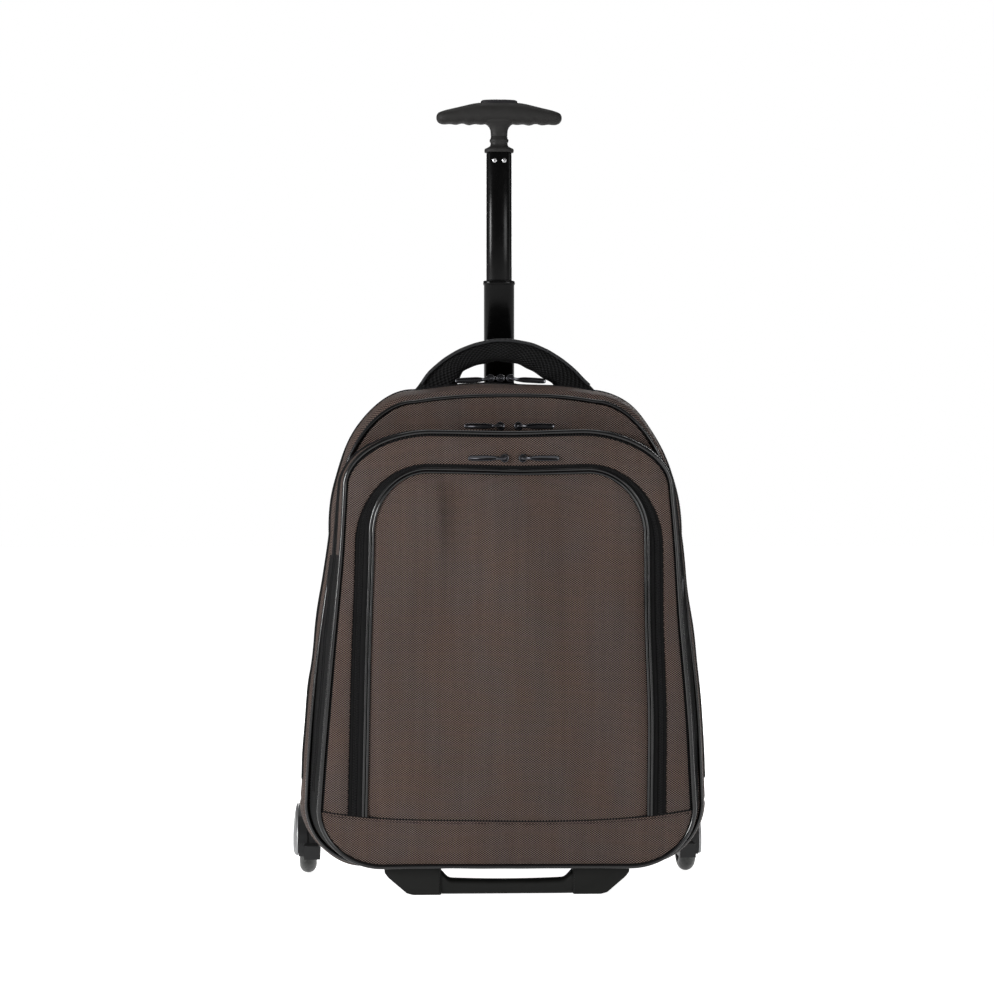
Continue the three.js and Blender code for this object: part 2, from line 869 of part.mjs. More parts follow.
// The room that the housing and the axle's head take in the bag's corner
function housingRoom(side) {
  const radius = housingRadius + gap * 3;
  const stations = [[radius, side * (plateInnerX - gap)], [radius, side * mainWidth]];
  return rod(stations, 'x', [wheelY, wheelZ], roundSteps);
}

function wheelCover(side) {
  const inner = rimOuterX + gap;
  const stations = [
    [housingRadius - 2, inner],
    [housingRadius - 1, inner + coverThickness * 0.5],
    [housingRadius * 0.9, inner + coverThickness],
    [housingRadius * 0.6, inner + coverThickness + coverDome * 0.75],
    [housingRadius * 0.25, inner + coverThickness + coverDome],
  ];
  const disc = rod(stations.map(([r, x]) => [r, side * x]), 'x', [wheelY, wheelZ], roundSteps);
  return cut(disc, below(housingBottom + 1));
}

// Telescopic handle, one tube inside the next, against the inside of the bag's back wall
const tubePower = 3;
const lowerInnerWidth = lowerTubeWidth - 2 * tubeWall;
const sleeveWidth = lowerTubeWidth + 2 * slidingGap + 2 * sleeveWall;
const sleeveDepth = lowerTubeDepth + 2 * slidingGap + 2 * sleeveWall;
const poleY = mainDepth - shellWall - gap - sleeveDepth / 2;

function tubeLoop(width, depth, z, y = poleY) {
  return section(width / 2, depth / 2, 20, tubePower).map(([a, b]) => [a, y + b, z]);
}

function tube(stations, innerWidth, innerDepth) {
  const outer = stations.map(([width, depth, z]) => tubeLoop(width, depth, z));
  const inner = [stations.at(-1)[2], stations[0][2]].map((z) => tubeLoop(innerWidth, innerDepth, z));
  return loft([...outer, ...inner], true);
}

const sleeveTop = mainTop + mainArch + 1;
const sleeveBottom = mainBottom + shellWall + mainEdgeRound;

function trolleySleeve() {
  return tube(
    [[sleeveWidth, sleeveDepth, sleeveBottom], [sleeveWidth, sleeveDepth, sleeveTop]],
    sleeveWidth - 2 * sleeveWall,
    sleeveDepth - 2 * sleeveWall,
  );
}

function sleeveRoom() {
  return loft([sleeveTop - mainHighCornerHeight, sleeveTop + 10].map((z) => (
    tubeLoop(sleeveWidth + 2 * gap, sleeveDepth + 2 * gap, z)
  )));
}

function lowerTube() {
  const [w, d] = [lowerTubeWidth, lowerTubeDepth];
  const lip = 2 * lipWidth;
  return tube(
    [
      [w, d, lowerTubeTop - lowerTubeLength],
      [w, d, lowerTubeTop - lipHeight],
      [w + lip, d + lip, lowerTubeTop - lipHeight],
      [w + lip, d + lip, lowerTubeTop],
    ],
    lowerInnerWidth,
    d - 2 * tubeWall,
  );
}

const rivetZ = upperTubeTop - rivetDrop;
const tubeFrontY = poleY - upperTubeDepth / 2;
const rivetShank = rivetRadius * 0.6;

function rivetHoles() {
  return [-1, 1].map((side) => rod(
    [[rivetShank + gap, tubeFrontY - rivetLength], [rivetShank + gap, tubeFrontY + rivetLength]],
    'y',
    [(side * rivetSpacing) / 2, rivetZ],
    12,
  ));
}

function rivet(side) {
  const face = tubeFrontY - gap;
  const stations = [
    [rivetShank, face - rivetHead],
    [rivetRadius, face - rivetHead * 0.5],
    [rivetRadius, face],
    [rivetShank, face],
    [rivetShank, tubeFrontY + rivetLength - gap],
  ];
  return rod(stations, 'y', [(side * rivetSpacing) / 2, rivetZ], 12);
}

function upperTube() {
  const [w, d] = [upperTubeWidth, upperTubeDepth];
  const body = tube(
    [[w, d, upperTubeTop - upperTubeLength], [w, d, upperTubeTop]],
    w - 2 * tubeWall,
    d - 2 * tubeWall,
  );
  return cut(body, ...rivetHoles());
}

function buttonLoops(margin, bottom, top) {
  const [a, b] = [buttonWidth / 2 + margin, buttonDepth / 2 + margin];
  return [bottom, top].map((z) => section(a, b, 16, 2.8).map(([x, y]) => [x, poleY + y, z]));
}

const gripBottom = upperTubeTop + neckLength;
const gripTop = gripBottom + gripHeight;
const buttonBottom = gripTop + buttonRise - buttonHeight;

function grip() {
  const halfLoops = gripSections.map((row) => {
    const [high, low] = [gripBottom + gripHeight * row.top, gripBottom + gripHeight * row.bottom];
    const shape = section((gripDepth / 2) * row.depth, (high - low) / 2, 14, 2.3);
    return shape.map(([a, b]) => [(gripWidth / 2) * row.along, poleY + a, (high + low) / 2 + b]);
  });
  const mirrored = halfLoops.slice(1).reverse().map((loop) => loop.map(([x, y, z]) => [-x, y, z]));
  const bar = loft([...mirrored, ...halfLoops]);
  const collarWidth = upperTubeWidth + 2 * collarMargin;
  const collarDepth = upperTubeDepth + 2 * collarMargin;
  const collarBottom = upperTubeTop + gap;
  const neck = loft([
    tubeLoop(collarWidth, collarDepth, collarBottom),
    tubeLoop(collarWidth, collarDepth, collarBottom + collarHeight * 0.6),
    tubeLoop(neckWidth, neckDepth, collarBottom + collarHeight * 1.6),
    tubeLoop(neckWidth, neckDepth, lerp(collarBottom, gripBottom, 0.75)),
    tubeLoop(neckWidth * 1.25, neckDepth * 1.2, gripBottom + 0.5),
    tubeLoop(neckWidth * 1.3, neckDepth * 1.2, gripBottom + gripHeight * 0.4),
  ]);
  const spigotInset = 2 * (tubeWall + gap);
  const spigot = loft([upperTubeTop - spigotLength, collarBottom + collarHeight * 0.3].map((z) => (
    tubeLoop(upperTubeWidth - spigotInset, upperTubeDepth - spigotInset, z)
  )));
  const recess = loft(buttonLoops(gap, buttonBottom - buttonTravel - gap, gripTop + buttonHeight));
  return cut(join(bar, neck, spigot), recess, ...rivetHoles());
}

function gripButton() {
  const top = gripTop + buttonRise;
  const edge = buttonLoops(-1.5, buttonBottom, top)[1];
  const [low, high] = buttonLoops(0, buttonBottom, top - buttonRise * 0.5);
  return loft([low, high, edge]);
}

// Padded back and shoulder straps
const padOutline = {
  ...mainOutline,
  bottom: padBottom,
  top: padTop,
  arch: 0,
  lowHalf: padWidth / 2,
  highHalf: padTopWidth / 2,
  lowCorner: [padThickness * 3, padThickness * 3],
  highCorner: [padThickness * 5, padThickness * 5],
  highPower: 2,
  bow: 0,
};
const padY = mainDepth + gap;

function backPanel() {
  const rows = [[0, 0], [-0.1, 0.5], [-0.5, 0.9], [-1.6, 1]];
  return loft(rows.map(([growth, place]) => (
    inPlane(grow(padOutline, growth * padThickness), padY + place * padThickness)
  )));
}

function strapPath() {
  const path = [];
  const steps = 12;
  const face = padY + padThickness + gap + strapThickness / 2;
  for (let i = 0; i <= steps; i++) {
    const t = i / steps;
    path.push([
      strapSpread * (1 + 0.35 * t),
      face + strapBow * Math.sin(Math.PI * Math.min(1, t * 0.9)) ** 0.8,
      lerp(strapTop, strapBottom, t),
    ]);
  }
  return path;
}

function shoulderStrap(side) {
  const path = strapPath().map(([x, y, z]) => [side * x, y, z]);
  return sweep(path, [1, 0, 0], (t) => section(strapWidth / 2, strapThickness / 2, 10, 3));
}

function strapWebbing(side) {
  const end = strapPath().at(-1);
  const face = padY + padThickness + gap + webbingThickness;
  const wallY = mainDepth + gap + webbingThickness / 2;
  const turnX = webbingSpread - webbingWidth * 0.25;
  const path = [
    [end[0], end[1], strapBottom - gap],
    [lerp(end[0], turnX, 0.5), lerp(end[1], face, 0.6), lerp(strapBottom, webbingTurn, 0.5)],
    [turnX, face, webbingTurn],
    [webbingSpread, lerp(face, wallY, 0.6), lerp(webbingTurn, webbingBottom, 0.45)],
    [webbingSpread, wallY, lerp(webbingTurn, webbingBottom, 0.8)],
    [webbingSpread, wallY, webbingBottom],
  ];
  const placed = path.map(([x, y, z]) => [side * x, y, z]);
  return sweep(placed, [1, 0, 0], () => section(webbingWidth / 2, webbingThickness / 2, 8, 6));
}

// Assembly
addPiece('main_shell', cut(mainShell(), housingRoom(-1), housingRoom(1), sleeveRoom()), nylon);
addPiece('main_front_panel', mainFrontPanel(), nylon);
addPiece('main_piping', pipingRing(mainAt(0), -gap - pipingRadius), glossBlack);
addPiece('pocket_gusset', pocketGusset(), blackFabric);
addPiece('pocket_piping', pipingRing(pocketOutline, pocketRimY - gap - pipingRadius), glossBlack);
addPiece('pocket_panel', pocketPanel(), nylon);
addPiece('bottom_panel', bottomPanel(), nylon);
addPiece('arch_band', archBand(), blackFabric);
addPiece('arch_piping', archPiping(), glossBlack);
addPiece('arch_panel', archPanel(), nylon);

addZipPair('arch_zip', 5, archTop + sliderRadius + 1, sliderSpacing, frontSurface);
addZipPair('pocket_zip', 3, pocketTop + gap + sliderReach, sliderSpacing, () => pocketRimY * 0.35);
const mainZipY = mainDepth * 0.32;
const mainZipZ = mainAt(mainZipY).top + mainArch + gap + sliderReach;
const mainZipAt = () => mainZipY;
addZipPair('main_zip', -2.5, mainZipZ, 2 * ringSpacing, mainZipAt);
addSlider('main_zip_slider_middle', -2.5, mainZipZ, mainZipAt);
addPiece('side_zip_puller', sidePuller(), glossBlack);

addPiece('carry_handle', carryHandle(), blackFabric);
addPiece('foot_handle', footHandle(), blackPlastic);
addPiece('trolley_sleeve', trolleySleeve(), blackPlastic);
addPiece('back_panel', backPanel(), blackFabric);
addPiece('lower_tube', lowerTube(), blackMetal);
addPiece('upper_tube', upperTube(), blackMetal);
addPiece('grip', grip(), softGrip);
addPiece('grip_button', gripButton(), blackPlastic);

for (const side of [-1, 1]) {
  const label = side < 0 ? 'left' : 'right';
  addPiece(`wheel_tyre_${label}`, wheelTyre(side), wheelGrey);
  addPiece(`wheel_hub_${label}`, wheelHub(side), greyPlastic);
  addPiece(`axle_${label}`, axle(side), steel);
  addPiece(`wheel_housing_${label}`, housing(side), greyPlastic);
  addPiece(`wheel_cover_${label}`, wheelCover(side), steel);
  addPiece(`rivet_${label}`, rivet(side), steel);
  addPiece(`shoulder_strap_${label}`, shoulderStrap(side), blackFabric);
  addPiece(`strap_webbing_${label}`, strapWebbing(side), blackFabric);
}

// The origin lies on the floor, at the middle of the whole object's width and depth
const bounds = new THREE.Box3().setFromObject(bag);
bag.position.set(0, -(bounds.min.y + bounds.max.y) / 2, -bounds.min.z);

export default bag;
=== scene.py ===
import json
import math

import bpy
import numpy as np
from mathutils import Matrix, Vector


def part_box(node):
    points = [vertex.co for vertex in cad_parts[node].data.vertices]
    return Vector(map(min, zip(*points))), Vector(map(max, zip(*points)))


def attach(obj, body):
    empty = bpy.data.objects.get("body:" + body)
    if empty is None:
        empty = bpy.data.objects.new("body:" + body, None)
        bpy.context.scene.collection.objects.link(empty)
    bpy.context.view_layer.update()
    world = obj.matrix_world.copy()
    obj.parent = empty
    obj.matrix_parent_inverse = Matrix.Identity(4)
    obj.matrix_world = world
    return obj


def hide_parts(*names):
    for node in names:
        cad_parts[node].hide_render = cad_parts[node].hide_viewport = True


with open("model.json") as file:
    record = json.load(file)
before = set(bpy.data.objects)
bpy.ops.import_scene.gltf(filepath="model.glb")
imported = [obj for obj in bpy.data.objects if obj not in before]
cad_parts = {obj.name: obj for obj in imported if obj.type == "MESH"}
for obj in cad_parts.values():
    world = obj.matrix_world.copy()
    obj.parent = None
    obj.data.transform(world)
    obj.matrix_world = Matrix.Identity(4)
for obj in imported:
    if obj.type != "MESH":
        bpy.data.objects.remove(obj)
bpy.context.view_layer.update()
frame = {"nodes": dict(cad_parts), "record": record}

# The bag is described in millimetres from the front edge of its main compartment, as its solids are.
# Seen from the front, +X is to the right, and the front faces -Y.
MM = 0.001
SHIFT = np.array([0.0, -63.0, 0.0])
FRONT, REAR = (0, -1, 0), (0, 1, 0)
SIDES = ((-1, "left"), (1, "right"))
WHITE = (1, 1, 1, 1)


# Camera, floor and light

def camera():
    distance, height = 3.0, 0.3762
    yaw, aim = math.radians(3.0), math.radians(0.09)
    data = bpy.data.cameras.new("camera")
    data.sensor_width = 36
    data.lens = 111.1
    made = bpy.data.objects.new("camera", data)
    made.location = (-distance * math.sin(yaw), -distance * math.cos(yaw), height)
    made.rotation_euler = (math.radians(90), 0, aim - yaw)
    bpy.context.collection.objects.link(made)
    bpy.context.scene.camera = made


def area_light(name, place, target, size, power, size_y=None):
    data = bpy.data.lights.new(name, "AREA")
    data.shape = "RECTANGLE"
    data.size, data.size_y = size, size_y or size
    data.energy = power
    made = bpy.data.objects.new(name, data)
    made.location = place
    made.rotation_euler = (Vector(target) - Vector(place)).to_track_quat("-Z", "Y").to_euler()
    bpy.context.collection.objects.link(made)


def studio():
    area_light("key", (-2.5, -1.9, 0.9), (0, 0, 0.2), 0.9, 80)
    area_light("fill", (1.6, -2.7, 0.8), (0, 0, 0.25), 1.0, 20)
    area_light("left", (-2.3, -0.4, 0.9), (0, 0, 0.4), 0.5, 8, 3.0)
    area_light("right", (2.3, -0.4, 0.9), (0, 0, 0.4), 0.5, 8, 3.0)
    area_light("top", (0, 0.4, 2.8), (0, 0, 0.3), 1.4, 12)
    area_light("rear", (0.5, 2.8, 1.5), (0, 0, 0.35), 1.6, 34)

    world = bpy.data.worlds.new("studio")
    bpy.context.scene.world = world
    world.use_nodes = True
    tree = world.node_tree
    tree.nodes.clear()
    path = tree.nodes.new("ShaderNodeLightPath")
    mix = tree.nodes.new("ShaderNodeMixShader")
    out = tree.nodes.new("ShaderNodeOutputWorld")
    tree.links.new(path.outputs["Is Camera Ray"], mix.inputs[0])
    for k, strength in ((1, 0.16), (2, 1.0)):
        glow = tree.nodes.new("ShaderNodeBackground")
        glow.inputs["Strength"].default_value = strength
        glow.inputs["Color"].default_value = WHITE
        tree.links.new(glow.outputs[0], mix.inputs[k])
    tree.links.new(mix.outputs[0], out.inputs[0])

    bpy.ops.mesh.primitive_plane_add(size=40, location=(0, 0, -0.0003))
    floor = bpy.context.object
    floor.name = "floor"
    look = bpy.data.materials.new("floor")
    look.use_nodes = True
    shader = look.node_tree.nodes["Principled BSDF"]
    shader.inputs["Base Color"].default_value = (0.9, 0.9, 0.9, 1)
    shader.inputs["Roughness"].default_value = 0.9
    shader.inputs["Specular IOR Level"].default_value = 0
    shader.inputs["Emission Color"].default_value = WHITE
    tree = look.node_tree
    path = tree.nodes.new("ShaderNodeLightPath")
    glow = tree.nodes.new("ShaderNodeMapRange")
    glow.inputs["To Min"].default_value = 0.4
    glow.inputs["To Max"].default_value = 0.94
    tree.links.new(path.outputs["Is Camera Ray"], glow.inputs["Value"])
    tree.links.new(glow.outputs[0], shader.inputs["Emission Strength"])
    floor.data.materials.append(look)

    bpy.context.scene.view_settings.view_transform = "Standard"


# Materials

class Look:
    """A material whose weave, grain and wear follow the surface's own coordinates."""

    def __init__(self, name, color, roughness=0.5, metallic=0.0, **values):
        self.material = bpy.data.materials.new(name)
        self.material.use_nodes = True
        self.tree = self.material.node_tree
        self.shader = self.tree.nodes["Principled BSDF"]
        self.set("Base Color", (*color, 1))
        self.set("Roughness", roughness)
        self.set("Metallic", metallic)
        for key, value in values.items():
            self.set(key.replace("_", " "), value)

    def set(self, socket, value):
        target = self.shader.inputs[socket]
        if isinstance(value, bpy.types.NodeSocket):
            self.tree.links.new(value, target)
        else:
            target.default_value = value

    def node(self, kind, inputs=(), **settings):
        made = self.tree.nodes.new("ShaderNode" + kind)
        for key, value in settings.items():
            setattr(made, key, value)
        for key, value in dict(inputs).items():
            if isinstance(value, bpy.types.NodeSocket):
                self.tree.links.new(value, made.inputs[key])
            else:
                made.inputs[key].default_value = value
        return made

    def calc(self, operation, a, b=0.0):
        return self.node("Math", {0: a, 1: b}, operation=operation).outputs[0]

    def scaled(self, source, scale):
        where = self.node("TexCoord").outputs[source]
        return self.node("Mapping", {"Vector": where, "Scale": scale}).outputs[0]

    def noise(self, source, scale, detail=2.0, roughness=0.5):
        settings = {
            "Vector": self.scaled(source, scale), "Scale": 1.0, "Detail": detail, "Roughness": roughness,
        }
        return self.node("TexNoise", settings).outputs["Fac"]

    def between(self, amount, low, high, low_at=0.0, high_at=1.0):
        made = self.node("MapRange", {0: amount, 1: low_at, 2: high_at, 3: low, 4: high}, clamp=True)
        return made.outputs[0]

    def blend(self, amount, first, second, kind="MIX"):
        made = self.node("Mix", data_type="RGBA", blend_type=kind)
        for key, value in ((0, amount), (6, first), (7, second)):
            if isinstance(value, bpy.types.NodeSocket):
                self.tree.links.new(value, made.inputs[key])
            else:
                made.inputs[key].default_value = value if key == 0 else (*value[:3], 1)
        return made.outputs[2]

    def bump(self, height, distance, strength):
        made = self.node("Bump", {"Height": height, "Distance": distance, "Strength": strength})
        self.set("Normal", made.outputs[0])

    def woven(self, across, along):
        """A checked height from -1 to 1 over the cloth, with cells of these sizes in metres."""
        parts = self.node("SeparateXYZ", {0: self.node("TexCoord").outputs["UV"]})
        waves = [
            self.calc("SINE", self.calc("MULTIPLY", parts.outputs[k], math.pi / size))
            for k, size in enumerate((across, along))
        ]
        return self.calc("MULTIPLY", *waves)


def nylon(name, light, dark, tint):
    """Ballistic nylon: a basket weave of light and dark yarn ends, a little uneven in hue and tone."""
    look = Look(name, light, 0.6, Specular_IOR_Level=0.16)
    cells = look.woven(0.00142, 0.00104)
    uneven = look.noise("UV", (330, 330, 1), 2)
    amount = look.calc("ADD", cells, look.between(uneven, -0.04, 0.04, 0.3, 0.7))
    color = look.blend(look.between(amount, 0, 1, -0.06, 0.3), dark, light)
    patches = look.between(look.noise("UV", (26, 15, 1), 3), 0, 1, 0.38, 0.62)
    color = look.blend(patches, color, look.blend(1.0, color, tint, "MULTIPLY"))
    streaks = look.between(look.noise("UV", (150, 5, 1), 2), 0.93, 1.06, 0.3, 0.7)
    clouds = look.between(look.noise("UV", (9, 6, 1), 2), 0.92, 1.07, 0.3, 0.7)
    tone = look.calc("MULTIPLY", streaks, clouds)
    grey = look.node("CombineColor", {0: tone, 1: tone, 2: tone}).outputs[0]
    look.set("Base Color", look.blend(1.0, color, grey, "MULTIPLY"))
    look.set("Roughness", look.between(cells, 0.8, 0.5, -1, 1))
    look.bump(cells, 0.0003, 0.9)
    return look.material


def black_cloth(name, color, across, along, depth=0.0002, low=0.15):
    look = Look(name, color, 0.75, Specular_IOR_Level=0.1)
    cells = look.woven(across, along)
    patches = look.noise("UV", (60, 60, 1), 3)
    dark = tuple(low * c for c in color)
    tone = look.calc("ADD", look.between(cells, 0.0, 0.85, -0.6, 0.8), look.calc("MULTIPLY", patches, 0.25))
    look.set("Base Color", look.blend(tone, dark, color))
    look.bump(cells, depth, 0.9)
    return look.material


def gloss(name, color, roughness, grain=900, depth=0.00005, **values):
    look = Look(name, color, roughness, **values)
    rub = look.noise("Object", (70, 70, 70), 4, 0.6)
    look.set("Roughness", look.between(rub, roughness * 0.85, roughness * 1.25, 0.3, 0.7))
    rubbed = tuple(1.4 * c for c in color)
    look.set("Base Color", look.blend(look.between(rub, 0, 1, 0.35, 0.75), color, rubbed))
    look.bump(look.noise("Object", (grain,) * 3, 2), depth, 0.6)
    return look.material


def metal(name, color, roughness, grain=(40, 40, 900)):
    look = Look(name, color, roughness, 1.0)
    brushed = look.noise("Object", grain, 3)
    look.set("Roughness", look.between(brushed, roughness * 0.7, roughness * 1.5, 0.3, 0.7))
    look.bump(brushed, 0.00003, 0.5)
    return look.material


def rubber_wheel(name):
    dark, light = (0.010, 0.0105, 0.010), (0.062, 0.065, 0.061)
    look = Look(name, (0.05, 0.052, 0.05), 0.3)
    clouds = look.noise("Object", (130, 130, 130), 5, 0.65)
    look.set("Base Color", look.blend(look.between(clouds, 0, 1, 0.35, 0.68), dark, light))
    look.set("Roughness", look.between(clouds, 0.45, 0.22, 0.3, 0.7))
    look.bump(look.noise("Object", (700, 700, 700), 3), 0.0001, 0.6)
    return look.material


brown = nylon("nylon", (0.160, 0.119, 0.105), (0.004, 0.003, 0.0028), (1.07, 0.98, 0.91))
tape = black_cloth("zip_tape", (0.011, 0.011, 0.0115), 0.0009, 0.0007)
black = black_cloth("black_fabric", (0.012, 0.0122, 0.0125), 0.0016, 0.0011)
mesh_cloth = black_cloth("handle_mesh", (0.016, 0.016, 0.0165), 0.0015, 0.0026, 0.0009, 0.02)
back_cloth = black_cloth("back_mesh", (0.018, 0.018, 0.019), 0.0016, 0.0026, 0.0007)
ribbed = black_cloth("webbing", (0.016, 0.016, 0.0165), 0.0030, 0.0012, 0.0004)
piping_skin = gloss("piping", (0.0022, 0.0023, 0.0025), 0.17, 40, 0.00002, Specular_IOR_Level=0.6)
teeth_look = gloss("zip_coil", (0.014, 0.014, 0.0145), 0.6, Specular_IOR_Level=0.08)
zip_metal = gloss("zip_metal", (0.055, 0.055, 0.06), 0.2, 60, 0.00002, metallic=1.0)
thread = gloss("thread", (0.008, 0.006, 0.005), 0.7, 2500, Specular_IOR_Level=0.08)
satin = gloss("satin_binding", (0.020, 0.0205, 0.022), 0.45, 500, 0.00003, Specular_IOR_Level=0.15)
plastic = gloss("black_plastic", (0.0045, 0.0048, 0.0042), 0.55, 2600, 0.00006, Specular_IOR_Level=0.22)
grey_plastic = gloss("grey_plastic", (0.014, 0.0145, 0.015), 0.34, 2200, 0.00005, Specular_IOR_Level=0.35)
soft_touch = gloss("soft_grip", (0.012, 0.0115, 0.011), 0.6, 3000, 0.00005, Specular_IOR_Level=0.25)
button_look = gloss("button", (0.012, 0.011, 0.013), 0.42, 2600, Specular_IOR_Level=0.25)
tube_look = gloss("tube", (0.0010, 0.0010, 0.0010), 0.2, 60, 0.00001, Specular_IOR_Level=0.16)
steel = metal("steel", (0.62, 0.62, 0.63), 0.24)
silver = metal("silver", (0.34, 0.345, 0.35), 0.38, (60, 60, 60))
wheel_look = rubber_wheel("wheel_rubber")


# Mesh tools

def piece(name, points, faces, look, uv, slot, body="bag", stands_for=(), smooth=True):
    """A surface from points in millimetres. It moves with one body and may stand for some of the solids."""
    points = (np.asarray(points, float).reshape(-1, 3) + SHIFT) * MM
    mesh = bpy.data.meshes.new(name)
    mesh.from_pydata(points.tolist(), [], faces.tolist() if isinstance(faces, np.ndarray) else faces)
    corners = np.empty(len(mesh.loops), np.int32)
    mesh.loops.foreach_get("vertex_index", corners)
    flat = np.asarray(uv, float).reshape(-1, 2)[corners] * MM
    mesh.uv_layers.new(name="cloth").data.foreach_set("uv", flat.ravel())
    mesh.polygons.foreach_set("use_smooth", [smooth] * len(mesh.polygons))
    mesh.materials.append(look)
    mesh.update()
    made = bpy.data.objects.new(name, mesh)
    bpy.context.collection.objects.link(made)
    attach(made, body)
    if stands_for:
        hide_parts(*stands_for)
    return made


def quads(rows, columns, wrap_rows=False, wrap_columns=False):
    index = np.arange(rows * columns).reshape(rows, columns)
    if wrap_rows:
        index = np.vstack([index, index[:1]])
    if wrap_columns:
        index = np.hstack([index, index[:, :1]])
    return np.stack([index[:-1, :-1], index[:-1, 1:], index[1:, 1:], index[1:, :-1]], -1).reshape(-1, 4)


def waves(points, size, seed):
    """A smooth uneven field of about -1 to 1 with features of about that size."""
    rng, count = np.random.default_rng(seed), 7
    points = np.asarray(points, float)
    total = np.zeros(points.shape[:-1])
    for _ in range(count):
        way = rng.normal(size=points.shape[-1])
        way *= 2 * math.pi / (size * rng.uniform(0.8, 2.2) * np.linalg.norm(way))
        total += np.sin(points @ way + rng.uniform(0, 2 * math.pi))
    return total / math.sqrt(count)


def smooth_step(x, start, end):
    t = np.clip((np.asarray(x, float) - start) / (end - start), 0, 1)
    return t * t * (3 - 2 * t)


def distances(points):
    """How far along a line each of its points lies."""
    return np.concatenate([[0], np.cumsum(np.linalg.norm(np.diff(points, axis=0), axis=1))])


def pairs(a, b):
    return np.stack(np.broadcast_arrays(a, b), -1)


def at_depth(flat, y):
    """Points of an outline, set upright at a depth."""
    return np.stack([flat[:, 0], np.full(len(flat), y), flat[:, 1]], -1)


def spread(curve, columns):
    """Places from side to side of an outline, row by row, and how far each lies inside its sides."""
    x = curve[:, :1] * np.linspace(-1, 1, columns)
    z = np.broadcast_to(curve[:, 1:], x.shape)
    return x, z, np.broadcast_to(curve[:, :1], x.shape) - np.abs(x)


def even(points, count, closed=False):
    """Points at even distances along a line."""
    points = np.asarray(points, float)
    if closed:
        points = np.vstack([points, points[:1]])
    places = distances(points)
    wanted = np.linspace(0, places[-1], count + 1 if closed else count)
    if closed:
        wanted = wanted[:-1]
    return np.stack([np.interp(wanted, places, points[:, k]) for k in range(points.shape[1])], -1)


def length_of(points):
    return float(np.linalg.norm(np.diff(points, axis=0), axis=1).sum())


def frames_along(path, outward, closed=False):
    """Tangent, sideways and outward directions at each point of a path."""
    path = np.asarray(path, float)
    if closed:
        tangent = np.roll(path, -1, 0) - np.roll(path, 1, 0)
    else:
        tangent = np.gradient(path, axis=0)
    tangent /= np.linalg.norm(tangent, axis=1, keepdims=True)
    outward = np.broadcast_to(np.asarray(outward, float), path.shape).copy()
    outward -= (outward * tangent).sum(1, keepdims=True) * tangent
    outward /= np.linalg.norm(outward, axis=1, keepdims=True)
    return tangent, np.cross(tangent, outward), outward


def swept(name, path, profile, outward, look, closed=False, scale=None, **settings):
    """A closed profile of [sideways, outward] carried along a path."""
    path, profile = np.asarray(path, float), np.asarray(profile, float)
    _, side, out = frames_along(path, outward, closed)
    size = np.ones(len(path)) if scale is None else np.asarray(scale)
    spread = profile[None] * size[:, None, None]
    points = path[:, None] + side[:, None] * spread[..., :1] + out[:, None] * spread[..., 1:]
    return tube_of(name, points, look, closed, **settings)


def tube_of(name, loops, look, closed=False, **settings):
    """A skin over loops of points: a ring of loops, or one closed at both ends."""
    loops = np.asarray(loops, float)
    rows, columns = loops.shape[:2]
    around = distances(loops[rows // 2])
    middles = loops.mean(1)
    along = distances(middles)
    uv = pairs(around[None, :], along[:, None])
    faces = quads(rows, columns, wrap_rows=closed, wrap_columns=True).tolist()
    if not closed:
        faces += [list(range(columns))[::-1], list(range((rows - 1) * columns, rows * columns))]
    return piece(name, loops, faces, look, uv, **settings)


def circle(radius, sides):
    a = np.arange(sides) * 2 * math.pi / sides
    return np.stack([radius * np.cos(a), radius * np.sin(a)], -1)


def rounded(a, b, sides, power):
    """An ellipse with these half sizes. A higher power makes it squarer."""
    t = (np.arange(sides) + 0.5) * 2 * math.pi / sides
    c, s = np.cos(t), np.sin(t)
    across, up = (np.sign(v) * np.abs(v) ** (2 / power) for v in (c, s))
    return np.stack([a * across, b * up], -1)


def row_of(name, path, outward, shape, pitch, look, offset=(0, 0), phase=0.0, **settings):
    """Copies of a small shape along a path. The shape's corners are [along, sideways, outward]."""
    path = np.asarray(path, float)
    count = max(2, int(length_of(path) / pitch))
    at = even(path, count * 4 + 1)
    outward = np.asarray(outward, float)
    if outward.ndim == 2:
        outward = even_like(path, outward, len(at))
    tangent, side, out = frames_along(at, outward)
    picks = np.arange(count) * 4 + int(round(4 * phase))
    corners, sides = shape
    points = (
        at[picks][:, None]
        + tangent[picks][:, None] * corners[None, :, :1]
        + side[picks][:, None] * (corners[None, :, 1:2] + offset[0])
        + out[picks][:, None] * (corners[None, :, 2:] + offset[1])
    )
    faces = (sides[None] + (np.arange(count) * len(corners))[:, None, None]).reshape(-1, sides.shape[1])
    uv = np.stack([points[..., 0], points[..., 2]], -1)
    piece(name, points, faces, look, uv, smooth=False, **settings)


def even_like(path, values, count):
    places = distances(path)
    wanted = np.linspace(0, places[-1], count)
    return np.stack([np.interp(wanted, places, values[:, k]) for k in range(3)], -1)


def arc_through(points):
    """A smooth arc through three points."""
    a, b, c = (np.asarray(p, float) for p in points)
    t = np.linspace(0, 1, 24)[:, None]
    return a * (1 - t) ** 2 + 2 * (2 * b - (a + c) / 2) * t * (1 - t) + c * t * t


def smooth_line(rows):
    """A smooth line through chosen points."""
    rows = np.asarray(rows, float)
    t = distances(rows)
    fine = np.linspace(0, t[-1], 200)
    line = np.stack([np.interp(fine, t, rows[:, k]) for k in range(2)], -1)
    kernel = np.hanning(19) / np.hanning(19).sum()
    padded = np.vstack([np.repeat(line[:1], 9, 0), line, np.repeat(line[-1:], 9, 0)])
    return np.stack([np.convolve(padded[:, k], kernel, "valid") for k in range(2)], -1)


